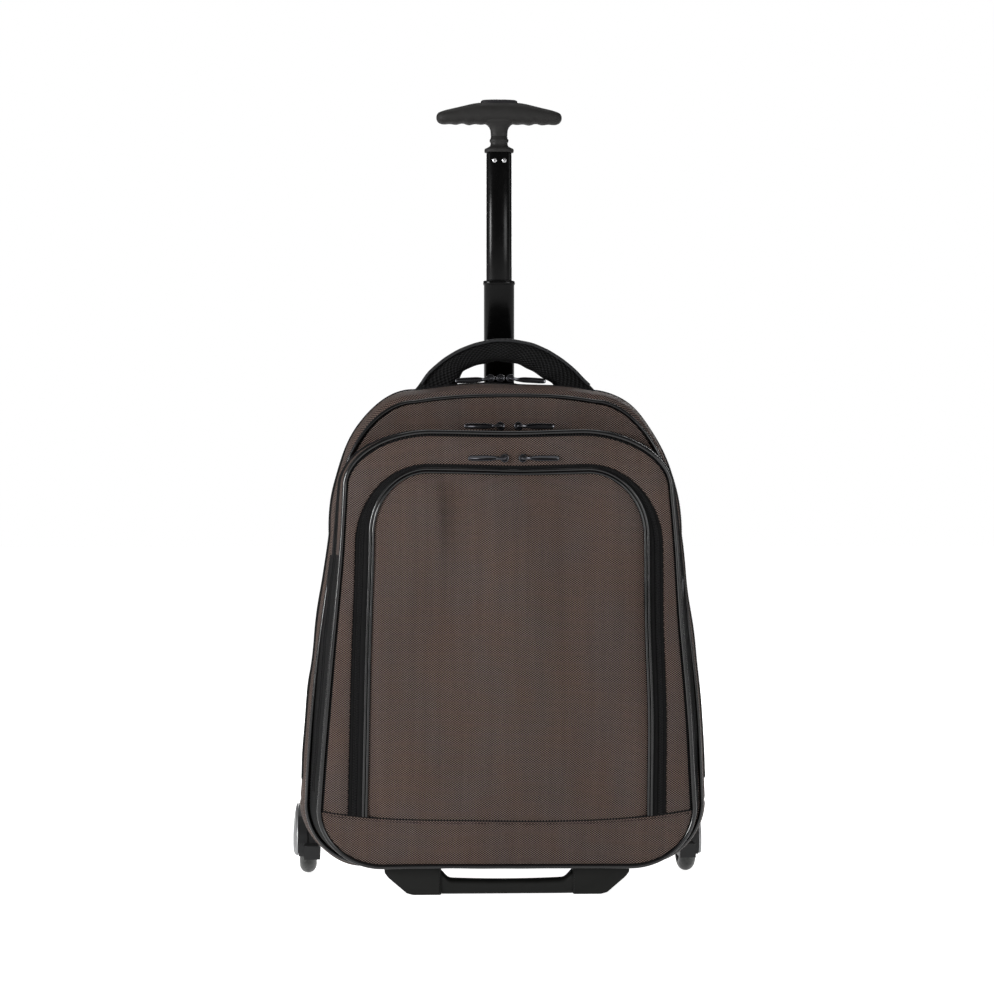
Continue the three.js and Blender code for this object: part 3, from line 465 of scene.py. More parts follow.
def bar_shape(length, width, height, taper=0.75):
    """A small bar on its flat side, narrower at its top."""
    l, w = length / 2, width / 2
    low = [[-l, -w, 0], [l, -w, 0], [l, w, 0], [-l, w, 0]]
    high = [[taper * x, taper * y, height] for x, y, _ in low]
    sides = [[0, 1, 5, 4], [1, 2, 6, 5], [2, 3, 7, 6], [3, 0, 4, 7], [4, 5, 6, 7]]
    return np.array(low + high, float), np.array(sides)


# The bag's outlines

def outline(bottom, top, low_half, high_half, low_corner, high_corner, power, arch=0.0, bow=0.0):
    """An outline seen from the front: heights, half widths and corners at its foot and its top.
    The power shapes the top corners, the arch lifts the top's middle and the bow swells the sides."""
    return dict(bottom=bottom, top=top, low_half=low_half, high_half=high_half, low_corner=low_corner,
                high_corner=high_corner, power=power, arch=arch, bow=bow)


def grow(shape, distance):
    """The same outline moved outward by a distance on every side."""
    return {
        **shape,
        "bottom": shape["bottom"] - distance,
        "top": shape["top"] + distance,
        "low_half": shape["low_half"] + distance,
        "high_half": shape["high_half"] + distance,
        "low_corner": tuple(size + distance if size > 0 else 0 for size in shape["low_corner"]),
        "high_corner": tuple(size + distance for size in shape["high_corner"]),
    }


def half_curve(shape):
    """The right half of an outline, from the flat bottom's end up to the top's end."""
    low, side, high = 28, 60, 60
    low_x, low_z = shape["low_corner"]
    high_x, high_z = shape["high_corner"]
    parts = []
    if low_x > 0:
        a = np.linspace(0, math.pi / 2, low, endpoint=False)
        parts.append(np.stack([
            shape["low_half"] - low_x + low_x * np.sin(a),
            shape["bottom"] + low_z - low_z * np.cos(a),
        ], -1))
    t = np.linspace(0, 1, side, endpoint=False)
    start, end = shape["bottom"] + low_z, shape["top"] - high_z
    parts.append(np.stack([
        shape["low_half"] + (shape["high_half"] - shape["low_half"]) * t + shape["bow"] * 4 * t * (1 - t),
        start + (end - start) * t,
    ], -1))
    a = np.linspace(0, math.pi / 2, high + 1)
    power = 2 / shape["power"]
    parts.append(np.stack([
        shape["high_half"] - high_x + high_x * np.clip(np.cos(a), 0, 1) ** power,
        shape["top"] - high_z + high_z * np.sin(a) ** power,
    ], -1))
    return np.vstack(parts)


def top_line(shape, end):
    """The points between the two ends of an outline's top, from right to left."""
    u = np.linspace(1, -1, 42)[1:-1]
    return np.stack([end[0] * u, end[1] + shape["arch"] * (1 - u * u)], -1)


def ring(shape, count=900):
    """An outline as a closed loop that starts and ends at the middle of the bottom."""
    right = half_curve(shape)
    left = right[::-1] * [-1, 1]
    middle = [[0, shape["bottom"]]]
    return even(np.vstack([middle, right, top_line(shape, right[-1]), left, middle]), count)


def half_width(shape, z):
    curve = half_curve(shape)
    return np.interp(z, curve[:, 1], curve[:, 0])


main_outline = outline(21, 480, 196, 170.5, (62, 62), (84, 140), 1.9, 8, 3.5)
pocket_outline = outline(27, 439.5, 178.5, 155, (62, 55), (85, 54), 1.9)
arch_outline = outline(73, 407.5, 150.5, 145, (0, 0), (70, 77), 1.95)
arch_inside = {**grow(arch_outline, -15.5), "bottom": 73, "top": 401.5}
MAIN_DEPTH, MAIN_ROUND, SHELL = 132.0, 10.0, 3.0
RIM = -46.0
PANEL = RIM - 0.3 - 2.5
POCKET_REAR = -3.1
PIPING = 2.2
POLE_Y = 132 - 3 - 0.3 - (21.6 + 1.2 + 3.6) / 2


def main_at(y):
    inset = np.interp(y / MAIN_DEPTH, [0, 0.04, 0.14, 0.4, 0.82, 0.94, 1], [0.55, 0.3, 0.1, 0, 0.2, 0.6, 1.3])
    drop = MAIN_ROUND * np.interp(y / MAIN_DEPTH, [0, 0.04, 0.14, 0.4], [0.6, 0.25, 0.06, 0])
    shape = grow(main_outline, -MAIN_ROUND * inset)
    across, up = shape["high_corner"]
    return {**shape, "top": shape["top"] - drop, "high_corner": (across, up - drop)}


def pocket_at(y):
    t = (POCKET_REAR - y) / (POCKET_REAR - RIM)
    rear = grow(main_at(0), -4)
    mix = lambda a, b: a + (b - a) * t
    return {
        **pocket_outline,
        "bottom": mix(rear["bottom"], pocket_outline["bottom"]),
        "low_half": mix(rear["low_half"], pocket_outline["low_half"]),
        "high_half": mix(rear["high_half"], pocket_outline["high_half"]),
        "low_corner": tuple(mix(a, b) for a, b in zip(rear["low_corner"], pocket_outline["low_corner"])),
        "bow": mix(rear["bow"], 0),
    }


def seam_height(x):
    """The seam above the bottom panel turns up a little towards both sides."""
    return 72.3 + 8.5 * (np.abs(x) / 174) ** 3.4


def above_seam(shape):
    """An outline above the seam, from its right foot over the top to its left foot."""
    right = half_curve({**shape, "bottom": min(shape["bottom"], 60)})
    gone = right[:, 1] < seam_height(right[:, 0])
    k = int(np.argmin(gone))
    if k:
        a, b = right[k - 1], right[k]
        fa, fb = (p[1] - seam_height(p[0]) for p in (a, b))
        right = np.vstack([[a + (b - a) * (-fa / (fb - fa))], right[k:]])
    left = right[::-1] * [-1, 1]
    return np.vstack([right, top_line(shape, right[-1]), left])


def crown(x, z):
    u = x / half_width(pocket_outline, z)
    v = 2 * (z - pocket_outline["bottom"]) / (pocket_outline["top"] - pocket_outline["bottom"]) - 1
    return 11 * np.clip(1 - u * u, 0, 1) * np.clip(1 - v**4, 0, 1)


def settle(flat):
    """Cloth edges are never quite true: the seams of the front wander and sag a little."""
    flat = np.asarray(flat, float).copy()
    x, z = flat[..., 0].copy(), flat[..., 1].copy()
    high = smooth_step(z, 330, 410)
    lean = 1.5 * np.exp(-(((z - 315) / 62) ** 2)) * smooth_step(x, 60, 165)
    flat[..., 0] += 0.7 * waves(flat, 150, 3) + lean
    flat[..., 1] += 0.5 * waves(flat, 120, 4) - 1.8 * high * np.exp(-(((x - 8) / 46) ** 2))
    return flat


def on_front(flat, lift=0.0):
    """Points of the front's plane set on its crowned surface, moved towards the viewer by lift."""
    flat = np.asarray(flat, float)
    moved = settle(flat)
    y = PANEL - crown(flat[..., 0], flat[..., 1]) - lift
    return np.stack([moved[..., 0], y, moved[..., 1]], -1)


# The front pocket's face

EDGE_INSET = -PIPING * 1.6 - 0.3


def bottom_panel():
    edge = half_curve(grow(pocket_outline, EDGE_INSET))
    keep = edge[edge[:, 1] < seam_height(edge[:, 0])]
    reach = keep[-1, 0]
    columns, rows = 220, 40
    u = np.sin(np.linspace(-math.pi / 2, math.pi / 2, columns))
    x = reach * u
    low = np.interp(np.abs(x), np.concatenate([[0], keep[:, 0]]), np.concatenate([[keep[0, 1]], keep[:, 1]]))
    high = seam_height(x)
    v = np.linspace(0, 1, rows)[:, None]
    flat = pairs(x[None], low + (high - low) * v)
    drop = (high - low) * (1 - v)
    lift = 1.1 - 1.5 * np.exp(-drop / 2.2) - 1.2 * np.exp(-(high - low) * v / 4)
    lift += 0.7 * waves(flat * [1, 1.6], 90, 11) * smooth_step(drop, 0, 14)
    piece("front_bottom_panel", on_front(flat, lift), quads(rows, columns), brown, flat,
          slot="nylon", stands_for=["bottom_panel"])


def bottom_seam():
    """A folded seam above the bottom panel, drawn as a thin black cord whose colour is painted shade for the
    seam's groove, with a row of stitches below it.
    """
    edge = half_curve(grow(pocket_outline, EDGE_INSET))
    reach = edge[edge[:, 1] < seam_height(edge[:, 0])][-1, 0]
    x = np.linspace(-reach, reach, 500)
    fold = on_front(np.stack([x, seam_height(x) - 0.2], -1), -0.15)
    # The cord follows the seam's real fold; its black colour is painted shade in the groove.
    swept("bottom_seam_painted_shade", fold, circle(0.85, 8), FRONT, tape, slot="black_fabric")
    sewn = on_front(np.stack([x, seam_height(x) - 2.9], -1), 0.45)
    row_of("bottom_seam_stitches", sewn, FRONT, bar_shape(2.2, 0.6, 0.5), 3.2, thread, slot="nylon")


def pocket_face():
    rows, columns = 28, 620
    outer = even(above_seam(grow(pocket_outline, EDGE_INSET)), columns)
    inner = even(above_seam(arch_outline), columns)
    width = np.linalg.norm(inner - outer, axis=1)[None]
    flange = 1.6 / width
    t = np.vstack([flange * 0, flange + (1 - flange) * np.linspace(0, 1, rows - 1)[:, None]])
    flat = outer[None] + (inner - outer)[None] * t[..., None]
    lift = 0.9 - 2.0 * np.exp(-t * width / 2.6) - 1.1 * np.exp(-(1 - t) * width / 2.5)
    lift -= 1.0 * np.exp(-np.clip(flat[..., 1] - seam_height(flat[..., 0]), 0, None) / 2.2)
    lift += 0.6 * waves(flat, 60, 12) * np.minimum(1, 4 * t * (1 - t))
    made = piece("front_pocket_panel", on_front(flat, lift), quads(rows, columns), brown, flat,
                 slot="nylon", stands_for=["pocket_panel"])
    made.data.materials.append(tape)
    first_row = np.arange((rows - 1) * (columns - 1)) < columns - 1
    made.data.polygons.foreach_set("material_index", first_row.astype(np.int32))


def arch_folds(x, z):
    """Soft upright folds: one ridge below the zip on the left, and broad swells over the panel."""
    high = smooth_step(z, 285, 365)
    lean = x + 66 + 0.05 * (z - 340)
    ridge = 4.6 * np.where(lean < 0, np.exp(-((lean / 24) ** 2)), np.exp(-((lean / 8) ** 2))) * high
    ridge -= 1.4 * np.exp(-(((lean - 20) / 12) ** 2)) * high
    swell = 2.6 * np.cos((x - 12) / 24) * np.exp(-(((x - 10) / 95) ** 2))
    low = 0.9 * np.cos((x + 0.18 * z) / 17 + 1.0) * smooth_step(z, 380, 90) * 0.5
    return ridge + swell + low + 0.9 * waves(np.stack([x, 0.35 * z], -1), 70, 21)


def arch_panel():
    shape = grow(arch_inside, -0.3)
    curve = even(half_curve({**shape, "bottom": 60}), 320)
    curve = curve[curve[:, 1] > 66]
    columns = 150
    x, z, side = spread(curve, columns)
    foot = seam_height(x)
    z = foot + (z - curve[0, 1]) * (shape["top"] - foot) / (shape["top"] - curve[0, 1])
    flat = np.stack([x, z], -1)
    rim = np.minimum(side, 1.1 * (shape["top"] - z))
    lift = 2.4 - 3.4 * np.exp(-np.clip(rim, 0, None) / 7) - 2.2 * np.exp(-(z - foot) / 4)
    lift += arch_folds(x, z) * smooth_step(rim, 0, 24) * smooth_step(z - foot, 0, 16)
    piece("front_arch_panel", on_front(flat, lift), quads(len(curve), columns), brown, flat,
          slot="nylon", stands_for=["arch_panel"])


TOOTH, TOOTH_PITCH = bar_shape(0.85, 2.1, 0.9), 1.5


def teeth(name, path, outward, labels):
    """Two rows of zip teeth that interlock along a line."""
    for label, offset, phase in zip(labels, (-0.95, 0.95), (0.0, 0.5)):
        row_of(f"{name}_teeth_{label}", path, outward, TOOTH, TOOTH_PITCH, teeth_look, (offset, 0), phase,
               slot="black_fabric")


def arch_line(share, count):
    """A line across the zip band: 0 at its outer edge, 1 at the double piping."""
    outer, inner = even(above_seam(arch_outline), 900), even(above_seam(arch_inside), 900)
    return even(outer + (inner - outer) * share, count)


def arch_zip():
    count, band = 760, 15.5
    share = np.array([-0.12, 0.0, 0.1, 0.16, 0.2, 0.34, 0.36, 0.38, 0.52, 0.56, 0.6, 0.66, 0.8, 0.94, 1.0])
    lift = np.array([-1.2, -0.5, -0.4, -0.3, -0.6, -0.6, -1.0, -0.6, -0.7, 0.5, 1.0, 1.1, 1.0, 0.7, -0.4])
    lines = np.stack([arch_line(s, count) for s in share])
    uv = pairs(share[:, None] * band, np.linspace(0, length_of(lines[5]), count)[None])
    piece("arch_zip_band", on_front(lines, lift[:, None]), quads(len(share), count), tape, uv,
          slot="black_fabric", stands_for=["arch_band"])
    teeth("arch", on_front(arch_line(0.36, 1400), -0.5), FRONT, ("outer", "inner"))
    sewn = on_front(arch_line(-0.02, 1400), 0.1)
    row_of("arch_band_stitches", sewn, FRONT, bar_shape(2.0, 0.55, 0.45), 2.9, thread, slot="nylon")


def double_piping():
    line = arch_line(1.0, 700)
    path = on_front(line, 1.3)
    _, side, _ = frames_along(path, FRONT)
    for label, offset, nodes in (("outer", -1.45, ["arch_piping"]), ("inner", 1.45, [])):
        swell = 1 + 0.04 * waves(path, 22, 31 if offset < 0 else 32)
        swept(f"arch_piping_{label}", path + side * offset, circle(1.5, 12), FRONT, piping_skin, scale=swell,
              slot="piping", stands_for=nodes)


# Pipings, gussets and main compartment

AROUND = 900
ZIP_LOW = {"pocket_zip": 96, "main_zip": 104}
BLACK_BELOW = 322
HOUSING_X = 176.8


def edge_piping(name, shape, y, nodes, radius=PIPING):
    inset, count = 0.6, 760
    path = at_depth(settle(ring(grow(shape, -radius * inset), count + 1)[:-1]), y)
    swell = 1 + 0.035 * waves(path, 26, 41)
    swept(name, path, circle(radius, 14), FRONT, piping_skin, closed=True, scale=swell,
          slot="piping", stands_for=nodes)


def gusset_surface(outline_at, depths, fold, seed):
    """Rings of an outline at several depths, with soft creases across the cloth."""
    points = np.stack([at_depth(settle(ring(outline_at(y), AROUND)), y) for y in depths])
    around = np.gradient(points, axis=1)
    outward = np.cross([0, 1, 0], around)
    outward /= np.linalg.norm(outward, axis=-1, keepdims=True)
    depth = np.asarray(depths, float)
    share = (depth - depth[0]) / (depth[-1] - depth[0])
    held = np.clip(4 * share * (1 - share), 0, 1)[:, None] ** 0.7
    crease = waves(points * [1, 0.25, 1], 34, seed) + 0.6 * waves(points * [1, 0.6, 1], 80, seed + 1)
    return points, outward, fold * crease * held


def above(loop, height):
    """Where a closed line rises above a height, and where it comes down again."""
    return int(np.argmax(loop[:, 2] > height)), int(len(loop) - np.argmax(loop[::-1, 2] > height))


def zip_on(name, surface, outward, depths, at, half, lift=0.5):
    """A strip of tape with two rows of teeth, sewn on a gusset along a line of depths."""
    picks = np.arange(*above(surface[len(depths) // 2], ZIP_LOW[name]))
    across = half * np.array([-1, -0.9, -1.4 / half, 0, 1.4 / half, 0.9, 1])
    at = np.broadcast_to(np.asarray(at, float), surface.shape[1])[picks]
    points = np.stack([[
        [np.interp(at[n] + shift, depths, surface[:, i, k]) for k in range(3)] for n, i in enumerate(picks)
    ] for shift in across])
    out = outward[len(depths) // 2, picks]
    rise = np.array([-0.3, lift, lift, lift - 0.3, lift, lift, -0.3])[:, None, None]
    along = distances(points[3])
    uv = pairs(across[:, None], along[None])
    faces = quads(len(across), len(picks))
    piece(name + "_tape", points + out[None] * rise, faces, tape, uv, slot="black_fabric")
    teeth(name, points[3] + out * (lift - 0.1), out, ("front", "rear"))


def pocket_gusset():
    depths = np.linspace(RIM, POCKET_REAR, 26)
    points, outward, fold = gusset_surface(pocket_at, depths, 0.5, 51)
    points = points + outward * fold[..., None]
    loop = points[len(depths) // 2]
    along = distances(loop)
    uv = pairs(along[None], depths[:, None])
    made = piece("front_pocket_gusset", points, quads(len(depths), AROUND), brown, uv, slot="black_fabric",
                 stands_for=["pocket_gusset"])
    made.data.materials.append(black)
    height = points[:-1, :-1, 2].ravel()
    made.data.polygons.foreach_set("material_index", (height < BLACK_BELOW).astype(np.int32))
    zip_on("pocket_zip", points, outward, depths, -18.0, 8.5)


def inside_wheel(points):
    """Which points lie in the room that a wheel and its housing take in the bag's corner."""
    running_gap, housing_wall, room = 1.5, 2.3, 0.9
    radius = WHEEL_RADIUS + running_gap + housing_wall + room
    return np.hypot(points[..., 1] - WHEEL_Y, points[..., 2] - WHEEL_Z) < radius


def bezel():
    """A moulded rim round the opening that the trolley handle slides in."""
    opening = even(rounded(19.4, 14.6, 120, 5), 140, closed=True)
    path = [[x, POLE_Y + y, main_at(POLE_Y + y)["top"] + main_outline["arch"] + 0.2] for x, y in opening]
    swept("trolley_opening_rim", path, rounded(2.6, 1.7, 20, 2.6), (0, 0, 1), plastic, closed=True,
          slot="black_plastic")


def main_body():
    stretches = ((0, 18, 12), (22, 112, 34), (115, MAIN_DEPTH, 14))
    depths = np.concatenate([np.linspace(*stretch) for stretch in stretches])
    points, outward, fold = gusset_surface(main_at, depths, 0.9, 61)
    groove = 0.9 * np.exp(-(((points[..., 2] - 84) / 1.6) ** 2)) * (np.abs(points[..., 0]) > 120)
    points = points + outward * (fold - groove)[..., None]
    wheel = inside_wheel(points) & (np.abs(points[..., 0]) > HOUSING_X)
    points[..., 0] = np.where(wheel, np.sign(points[..., 0]) * HOUSING_X, points[..., 0])
    loop = points[len(depths) // 2]
    along = distances(loop)
    across = np.concatenate([[0], np.cumsum(np.hypot(np.diff(depths), 0.2))])
    uv = pairs(along[None], across[:, None])
    faces = quads(len(depths), AROUND)
    centre = points.reshape(-1, 3)[faces].mean(1)
    open_top = (np.abs(centre[:, 0]) < 18.6) & (np.abs(centre[:, 1] - POLE_Y) < 14)
    open_top &= centre[:, 2] > 440
    piece("main_gusset", points, faces[~open_top], brown, uv, slot="nylon", stands_for=["main_shell"])
    bezel()
    line = 42 - 25 * smooth_step(-loop[:, 2], -462, -400)
    zip_on("main_zip", points, outward, depths, line, 6.5, 0.4)


def flat_panel(name, shape, y, look, slot, nodes, bulge, seed):
    """A panel across an outline at a depth, crowned towards -y where bulge is positive."""
    curve = even(half_curve(shape), 150)
    columns = 110
    x, z, side = spread(curve, columns)
    rim = smooth_step(np.minimum(side, shape["top"] - z), 0, 60)
    top = shape["arch"] * (1 - np.linspace(-1, 1, columns) ** 2)
    z = z + top * smooth_step(curve[:, 1:], shape["top"] - 90, shape["top"])
    flat = np.stack([x, z], -1)
    depth = y - bulge * rim - 0.8 * rim * waves(flat, 90, seed)
    points = np.stack([x, depth, z], -1)
    piece(name, points, quads(len(curve), columns), look, flat, slot=slot, stands_for=nodes)


def main_front():
    shape = grow(main_at(0), -PIPING * 1.6 - 0.3)
    flat_panel("main_front_cloth", shape, -2.8, brown, "nylon", ["main_front_panel"], 0.6, 71)
    rear = grow(main_at(MAIN_DEPTH), 0.2)
    flat_panel("main_back_cloth", rear, MAIN_DEPTH, black, "black_fabric", [], 0.0, 72)


# Zip sliders and pullers

def node_box(name):
    """A solid's lowest and highest corners in the bag's own millimetres."""
    low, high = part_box(name)
    return np.array(low) / MM - SHIFT, np.array(high) / MM - SHIFT


def zip_slider(node):
    """A round slider: a raised ring with a stud in its middle."""
    low, high = node_box(node)
    middle = (low + high) / 2
    rings = [(4.1, 0), (4.2, 0.5), (4.2, 1.6), (4.0, 2.3), (3.5, 2.75), (3.0, 2.6), (2.6, 2.0), (2.3, 1.5),
             (1.7, 1.4), (1.5, 2.2), (1.2, 2.9), (0.7, 3.1), (0.1, 3.15)]
    angles = np.arange(40) * math.pi / 20
    loops = [[[middle[0] + r * math.cos(a), high[1] - out, middle[2] + r * math.sin(a)] for a in angles]
             for r, out in rings]
    tube_of(node + "_ring", loops, zip_metal, slot="zip_metal", stands_for=[node])


def zip_puller(node, towards, hang=0.0):
    """A long tab with rounded ends and a raised rim. Its thick direction is the thinnest of its box.
    A tab on the bag's top hangs a little lower than its solid towards its free end."""
    low, high = node_box(node)
    size = high - low
    long, thick = int(np.argmax(size)), int(np.argmin(size))
    wide = 3 - long - thick
    base, away = (high, -1) if thick == 1 else (low, 1)
    slim, tab = 1.75, rounded(size[long] / 2, 1, 64, 5)
    share = 0.5 - towards * tab[:, 0] / size[long]
    half = slim + (size[wide] / 2 - slim) * smooth_step(share, 0.0, 0.35)
    middle = (low + high) / 2
    loops = []
    for inset, out in ((0.3, 0), (0, 0.3), (0, 1.3), (0.3, 1.75), (0.75, 1.9), (1.1, 1.75), (1.4, 1.45)):
        loop = np.tile(middle, (len(tab), 1))
        loop[:, long] += tab[:, 0] * (1 - 2 * inset / size[long])
        loop[:, wide] += tab[:, 1] * np.maximum(half - inset, 0.15)
        loop[:, thick] = base[thick] + away * out
        loop[:, 2] -= hang * (0.45 + 0.55 * share**1.5)
        loops.append(loop)
    tube_of(node + "_tab", loops, zip_metal, slot="zip_metal", stands_for=[node])


def zip_fittings():
    for name in ("arch_zip", "pocket_zip", "main_zip"):
        for side, label in SIDES:
            slider, puller = f"{name}_slider_{label}", f"{name}_puller_{label}"
            on_top = name == "main_zip"
            zip_slider(slider)
            zip_puller(puller, -side, 2.6 if on_top else 0.0)
            (low, high), (near, far) = node_box(slider), node_box(puller)
            start, end = (low + high) / 2, (near + far) / 2
            end[0] = far[0] - 3.5 if side < 0 else near[0] + 3.5
            start[1], end[1] = low[1] + 0.2, near[1] - 0.1
            end[2] -= 1.2 if on_top else 0.0
            path = arc_through([start, (start + end) / 2 - [0, 0.5, 0], end])
            swept(f"{name}_link_{label}", path, rounded(1.5, 0.55, 16, 3), FRONT, zip_metal, slot="zip_metal")
    zip_slider("main_zip_slider_middle")
    zip_puller("side_zip_puller", -1)


# Foot

def foot():
    """Two moulded blocks joined by a rounded grab bar that stands a little behind their fronts."""
    corners = [(62.5, 0.0), (89, 0.0), (95, 1.6), (112.5, 16.5), (116, 21), (116, 30), (62.5, 30)]
    edge_steps = ((1.6, -35.8), (0.9, -35.6), (0.35, -35.1), (0.05, -34.3), (0, -33), (0, -11.5),
                  (0.6, -10.2))
    line = even(corners + corners[:1], 240)[:-1]
    for _ in range(3):
        line = (np.roll(line, 1, 0) + line * 2 + np.roll(line, -1, 0)) / 4
    tangent = np.roll(line, -1, 0) - np.roll(line, 1, 0)
    normal = np.stack([tangent[:, 1], -tangent[:, 0]], -1)
    normal /= np.linalg.norm(normal, axis=1, keepdims=True)
    for side, label in SIDES:
        loops = []
        for inset, y in edge_steps:
            flat = line - normal * inset
            loops.append(at_depth(np.stack([side * flat[:, 0], np.clip(flat[:, 1], 0, 30)], -1), y))
        tube_of(f"foot_block_{label}", loops, plastic, slot="black_plastic",
                stands_for=["foot_handle"] if side < 0 else [])
    x = np.linspace(-63.5, 63.5, 120)
    rise = smooth_step(np.abs(x), 50, 63.5)
    high = 13.6 + 1.6 * (x / 60) ** 2 + 7.5 * rise**2
    section_shape = rounded(1, 1, 48, 3.4)
    loops = [[[x[k], -22.6 + 11.4 * a, high[k] / 2 + (high[k] / 2 - 0.1) * b] for a, b in section_shape]
             for k in range(len(x))]
    tube_of("foot_grab_bar", loops, plastic, slot="black_plastic")


# Carry handle

HANDLE_Y = 62.0
handle_top = [(-86, 480), (-81, 486), (-74, 497), (-67, 503), (-57, 511), (-44, 519), (-28, 525.5), (-8, 530),
              (8, 530), (30, 526), (46, 519), (60, 510), (72, 500), (80, 491), (88, 484), (92, 479)]
handle_under = [(-50, 476), (-44, 486), (-38, 499), (-30, 503), (-20, 505), (-8, 508.5), (6, 508.5),
                (18, 506), (30, 500), (42, 492), (50, 486), (57, 476)]


def carry_handle():
    """A padded arch of black mesh. A satin binding runs along both of its upper edges."""
    count = 120
    top, under = even(smooth_line(handle_top), count), even(smooth_line(handle_under), count)
    share = np.linspace(0, 1, count)
    wrinkles = 0.9 * waves(np.stack([share * 160, share * 0], -1), 16, 81)
    under = under + np.stack([np.zeros(count), wrinkles], -1)
    middle, half = (top + under) / 2, (top - under) / 2
    loops = []
    section_shape = rounded(1, 1, 44, 3.2)
    for k in range(count):
        width = 15 * (1 - 0.12 * abs(2 * share[k] - 1) ** 6)
        puff = 1 + 0.03 * math.sin(share[k] * 40)
        loops.append([
            [middle[k, 0] + half[k, 0] * b, HANDLE_Y + width * a * puff, middle[k, 1] + half[k, 1] * b]
            for a, b in section_shape
        ])
    tube_of("carry_handle_pad", loops, mesh_cloth, slot="handle_mesh", stands_for=["carry_handle"])
    for label, side in (("front", -1), ("rear", 1)):
        path = at_depth(middle + (top - middle) * 0.9, HANDLE_Y + side * 14.2)[4:-4]
        away = at_depth(top - under, side * 12.0)[4:-4]
        binding = rounded(2.4, 1.2, 14, 2.4)
        swept(f"carry_handle_binding_{label}", path, binding, away, satin, slot="handle_mesh")
        row_of(f"carry_handle_stitches_{label}", path, away, bar_shape(2.4, 0.5, 0.4), 5.0, thread,
               (0.6, 1.0), slot="handle_mesh")


# Telescopic handle

def upright(stations, power=2.5):
    """Level sections of the pole, each from a width, a depth and a height."""
    return [[[a, POLE_Y + b, z] for a, b in rounded(w / 2, d / 2, 72, power)] for w, d, z in stations]


def tubes():
    lower = [(30, 21.6, 261), (30, 21.6, 586.6), (31.0, 22.6, 587.3), (31.6, 23.2, 588.2),
             (31.6, 23.2, 590.0), (31.0, 22.6, 590.9), (29.6, 21.2, 591.0), (27.4, 19.0, 590.8),
             (27.2, 18.8, 588), (27.2, 18.8, 560)]
    tube_of("lower_tube_skin", upright(lower, 3.0), tube_look, body="lower_stage", slot="tube",
            stands_for=["lower_tube"])
    upper = [(25.3, 16, 398.5), (25.3, 16, 717.6), (24.6, 15.3, 718.4), (22.6, 13.3, 718.5),
             (22.5, 13.2, 716)]
    tube_of("upper_tube_skin", upright(upper), tube_look, body="upper_stage", slot="tube",
            stands_for=["upper_tube"])


grip_rows = [
    # half length, top, bottom, half depth
    (0.0, 769.0, 747.5, 13.0), (9.0, 768.9, 747.6, 13.0), (16.0, 768.6, 747.0, 12.9),
    (22.0, 768.0, 746.5, 12.7), (27.0, 767.2, 746.6, 12.5), (31.0, 766.2, 746.8, 12.2),
    (36.0, 765.0, 746.9, 11.9), (42.0, 763.5, 746.9, 11.4), (48.0, 762.2, 746.8, 11.0),
    (53.0, 760.9, 746.6, 10.4), (57.0, 759.7, 746.9, 9.6), (60.0, 758.5, 748.0, 8.2),
    (61.6, 757.0, 749.6, 6.2), (62.4, 754.8, 751.8, 2.4),
]


def grip():
    rows = np.array(grip_rows)
    x = np.concatenate([np.linspace(0, 52, 40), np.linspace(53, 62.4, 26)])
    table = np.stack([np.interp(x, rows[:, 0], rows[:, k]) for k in (1, 2, 3)], -1)
    kernel = np.array([1, 2, 3, 2, 1]) / 9
    for k in range(3):
        table[2:-2, k] = np.convolve(table[:, k], kernel, "valid")
    table[:, 1] -= 0.75 * np.cos((x - 30) / 2.15) * np.exp(-(((x - 33) / 17) ** 2))
    loops = []
    shape = rounded(1, 1, 56, 2.3)
    for k, half in enumerate(x):
        high, low, depth = table[k]
        loops.append([[half, POLE_Y + depth * a, (high + low) / 2 + (high - low) / 2 * b] for a, b in shape])
    loops = np.array(loops)
    both = np.concatenate([loops[:0:-1] * [-1, 1, 1], loops])
    tube_of("grip_bar", both, soft_touch, body="upper_stage", slot="soft_grip", stands_for=["grip"])
    neck = [(28.5, 19.2, 718.8), (29.2, 20, 719.6), (29.2, 20, 721.2), (28.4, 19.4, 722.4),
            (24, 17, 723.4), (18.6, 13.6, 725.0), (17.2, 12.8, 726.6), (17.0, 12.8, 728.4),
            (18.4, 13.8, 729.4), (19.0, 14.4, 730.6), (18.4, 13.8, 731.8), (16.8, 12.8, 732.8),
            (16.6, 12.6, 734.6), (15.9, 12.0, 735.0), (16.6, 12.6, 735.4), (16.8, 12.8, 738),
            (17.4, 13.2, 741), (19.6, 14.4, 743.8), (24, 16.5, 746.2), (32, 19, 748.2), (40, 21, 750.2),
            (40, 21, 754)]
    tube_of("grip_neck", upright(neck), soft_touch, body="upper_stage", slot="soft_grip")
    button = [(35, 13.4, 764), (37, 15, 766.2), (36.6, 14.6, 769.2), (35.6, 13.8, 770.2), (33, 12, 770.9),
              (22, 8, 771.35), (4, 2, 771.4)]
    tube_of("grip_button_cap", upright(button, 2.8), button_look, body="button", slot="button",
            stands_for=["grip_button"])


# Wheels

WHEEL_X, WHEEL_Y, WHEEL_Z = 189.75, 149.0, 33.0
WHEEL_RADIUS = 33


def turned(name, profile, look, **settings):
    """A profile of [radius, x] turned all the way round the wheel's axis."""
    profile = np.asarray(profile, float)
    angles = np.linspace(0, 2 * math.pi, 96, endpoint=False)[:, None]
    loops = np.stack([
        np.broadcast_to(profile[:, 1], (len(angles), len(profile))),
        WHEEL_Y + np.cos(angles) * profile[:, 0],
        WHEEL_Z + np.sin(angles) * profile[:, 0],
    ], -1)
    tube_of(name, loops, look, closed=True, **settings)


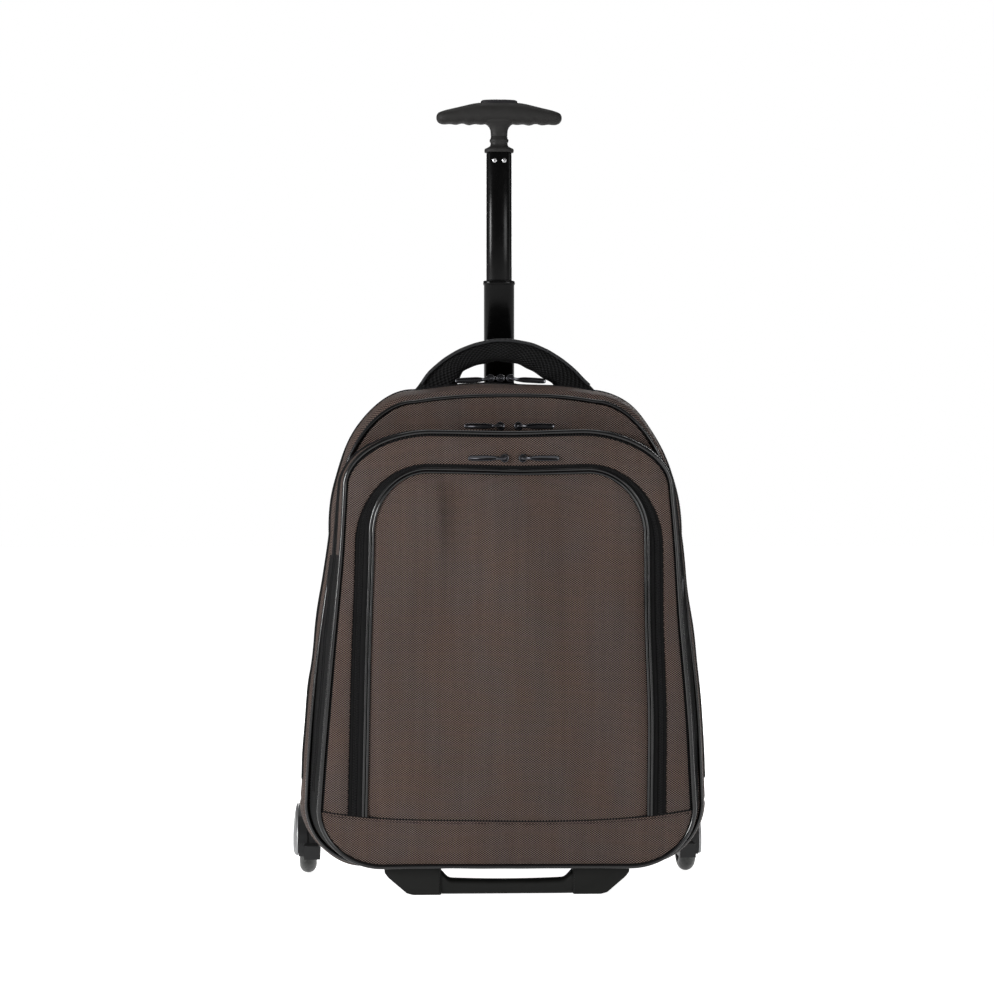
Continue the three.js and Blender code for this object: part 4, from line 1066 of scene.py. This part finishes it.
def wheels():
    for side, label in SIDES:
        middle = side * WHEEL_X
        body = f"wheel_{label}"
        arc = np.radians(np.linspace(-88, 88, 25))
        tread = [(WHEEL_RADIUS - 8.5 + 8.5 * math.cos(a), 8.5 * math.sin(a)) for a in arc]
        profile = [(22.1, -5.6), (23.4, -7.6)] + tread + [(23.4, 7.6), (22.1, 5.6)]
        turned(f"wheel_{label}_tyre", [(r, middle + side * x) for r, x in profile], wheel_look, body=body,
               slot="wheel_rubber", stands_for=[f"wheel_tyre_{label}"])
        hub = [(4.4, -8.4), (8.6, -8.4), (9.2, -7.6), (10, -5.4), (19, -4.6), (21.2, -5.2), (21.8, -4.4),
               (21.8, 4.4), (21.2, 5.2), (19, 4.6), (10, 5.4), (9.2, 7.6), (8.6, 8.4), (4.4, 8.4)]
        turned(f"wheel_{label}_hub", [(r, middle + side * x) for r, x in hub], grey_plastic, body=body,
               slot="grey_plastic", stands_for=[f"wheel_hub_{label}"])


def wheel_covers():
    """A silver lens outside each wheel, cut off flat at its foot."""
    inner, rim, foot_height = 199.3, 36.5, 21
    rings = [(1.0, 0.0), (1.0, 0.9), (0.985, 1.6), (0.95, 2.2), (0.88, 2.9), (0.75, 3.8), (0.6, 4.5),
             (0.4, 5.1), (0.2, 5.5), (0.02, 5.6)]
    angles = np.linspace(0, 2 * math.pi, 97)[:-1]
    for side, label in SIDES:
        loops = []
        for share, out in rings:
            y = WHEEL_Y + rim * share * np.cos(angles)
            z = np.maximum(WHEEL_Z + rim * share * np.sin(angles), foot_height + 3.0 * (1 - share))
            loops.append(np.stack([np.full(len(angles), side * (inner + out)), y, z], -1))
        tube_of(f"wheel_{label}_cover", loops, silver, slot="silver", stands_for=[f"wheel_cover_{label}"])


# Back and shoulder straps

def back_pad():
    """The padded mesh panel against the wearer's back, with sewn channels."""
    low, high = 92, 452
    shape = outline(low, high, 143, 125, (36, 36), (60, 60), 2, 0, 0)
    curve = even(half_curve(shape), 210)
    columns = 150
    x, z, side = spread(curve, columns)
    rim = np.minimum(side, np.minimum(high - z, z - low))
    edge = np.sqrt(np.clip(1 - (1 - np.clip(rim / 14, 0, 1)) ** 2, 0, 1))
    channel = np.exp(-((x / 6) ** 2)) * smooth_step(z, 110, 140)
    for at in (170, 262, 354):
        channel = np.maximum(channel, np.exp(-(((z - at - 0.0006 * x * x) / 5) ** 2)))
    thick = 11.6 * edge * (1 - 0.55 * channel) + 0.5 * waves(np.stack([x, z], -1), 60, 91) * edge
    flat = np.stack([x, z], -1)
    points = np.stack([x, 132.3 + np.clip(thick, 0.2, 12.6), z], -1)
    made = piece("back_pad", points, quads(len(curve), columns)[:, ::-1], back_cloth, flat, slot="back_mesh",
                 stands_for=["back_panel"])
    rear = points.copy()
    rear[..., 1] = 132.2
    piece("back_pad_lining", rear, quads(len(curve), columns), black, flat, slot="back_mesh")
    path = at_depth(ring(grow(shape, 0.5), 500)[:-1], 134.4)
    swept("back_pad_piping", path, circle(1.9, 10), REAR, piping_skin, closed=True, slot="piping")


def straps():
    t = np.linspace(0, 1, 90)
    face = 132.3 + 12 + 0.3 + 5
    line = np.stack([
        50 * (1 + 0.35 * t),
        face + 26 * np.sin(np.pi * np.minimum(1, t * 0.9)) ** 0.8,
        440 - 215 * t,
    ], -1)
    shape = rounded(29, 5, 48, 3.4)
    scale = 1 - 0.10 * np.abs(2 * t - 1) ** 4
    for side, label in SIDES:
        path = line * [side, 1, 1]
        made = swept(f"shoulder_strap_{label}_pad", path, shape, REAR, back_cloth, scale=scale,
                     slot="back_mesh", stands_for=[f"shoulder_strap_{label}"])
        _, across, _ = frames_along(path, REAR)
        for edge, place in ((-1, "in"), (1, "out")):
            sewn = path + across * edge * 28.4 * scale[:, None]
            swept(f"shoulder_strap_{label}_edge_{place}", sewn, rounded(1.5, 3.4, 14, 2.4), REAR, satin,
                  slot="back_mesh")
        end = line[-1]
        stations = np.array([
            [end[0], end[1], 225], [129, 147, 178], [159.75, 146.6, 132], [164, 141, 112],
            [166, 134.6, 100], [166, 133.4, 92],
        ])
        smooth = even(stations, 60)
        for _ in range(12):
            smooth[1:-1] = (smooth[:-2] + smooth[1:-1] * 2 + smooth[2:]) / 4
        webbing = smooth * [side, 1, 1]
        swept(f"strap_webbing_{label}_band", webbing, rounded(12.5, 1.0, 24, 6), REAR, ribbed,
              slot="webbing", stands_for=[f"strap_webbing_{label}"])


# Assembly

camera()
studio()
bottom_panel()
bottom_seam()
pocket_face()
arch_panel()
arch_zip()
double_piping()
edge_piping("front_pocket_piping", pocket_outline, RIM - 0.3 - PIPING, ["pocket_piping"])
pocket_gusset()
main_front()
edge_piping("main_edge_piping", main_at(0), -0.3 - PIPING, ["main_piping"], 2.0)
main_body()
carry_handle()
tubes()
grip()
zip_fittings()
foot()
wheels()
wheel_covers()
back_pad()
straps()

NODE_LOOKS = {
    "nylon": brown, "black_fabric": black, "piping": piping_skin, "zip_metal": zip_metal,
    "handle_mesh": mesh_cloth, "back_mesh": back_cloth, "webbing": ribbed, "black_plastic": plastic,
    "grey_plastic": grey_plastic, "soft_grip": soft_touch, "button": button_look, "tube": tube_look,
    "steel": steel, "silver": silver, "wheel_rubber": wheel_look,
}


def node_looks():
    """Every solid that is shown as it is takes the material of its slot."""
    slots = {part["node"]: part["material_slot"] for part in frame["record"]["subparts"]}
    for name, shown in frame["nodes"].items():
        for k in range(len(shown.material_slots)):
            shown.material_slots[k].material = NODE_LOOKS[slots.get(name, "black_plastic")]


def housing_edges():
    """The moulded wheel housings have slightly rounded edges."""
    for _, label in SIDES:
        edges = frame["nodes"]["wheel_housing_" + label].modifiers.new("edges", "BEVEL")
        edges.width, edges.segments = 0.0014, 3
        edges.limit_method, edges.angle_limit = "ANGLE", math.radians(40)


node_looks()
housing_edges()
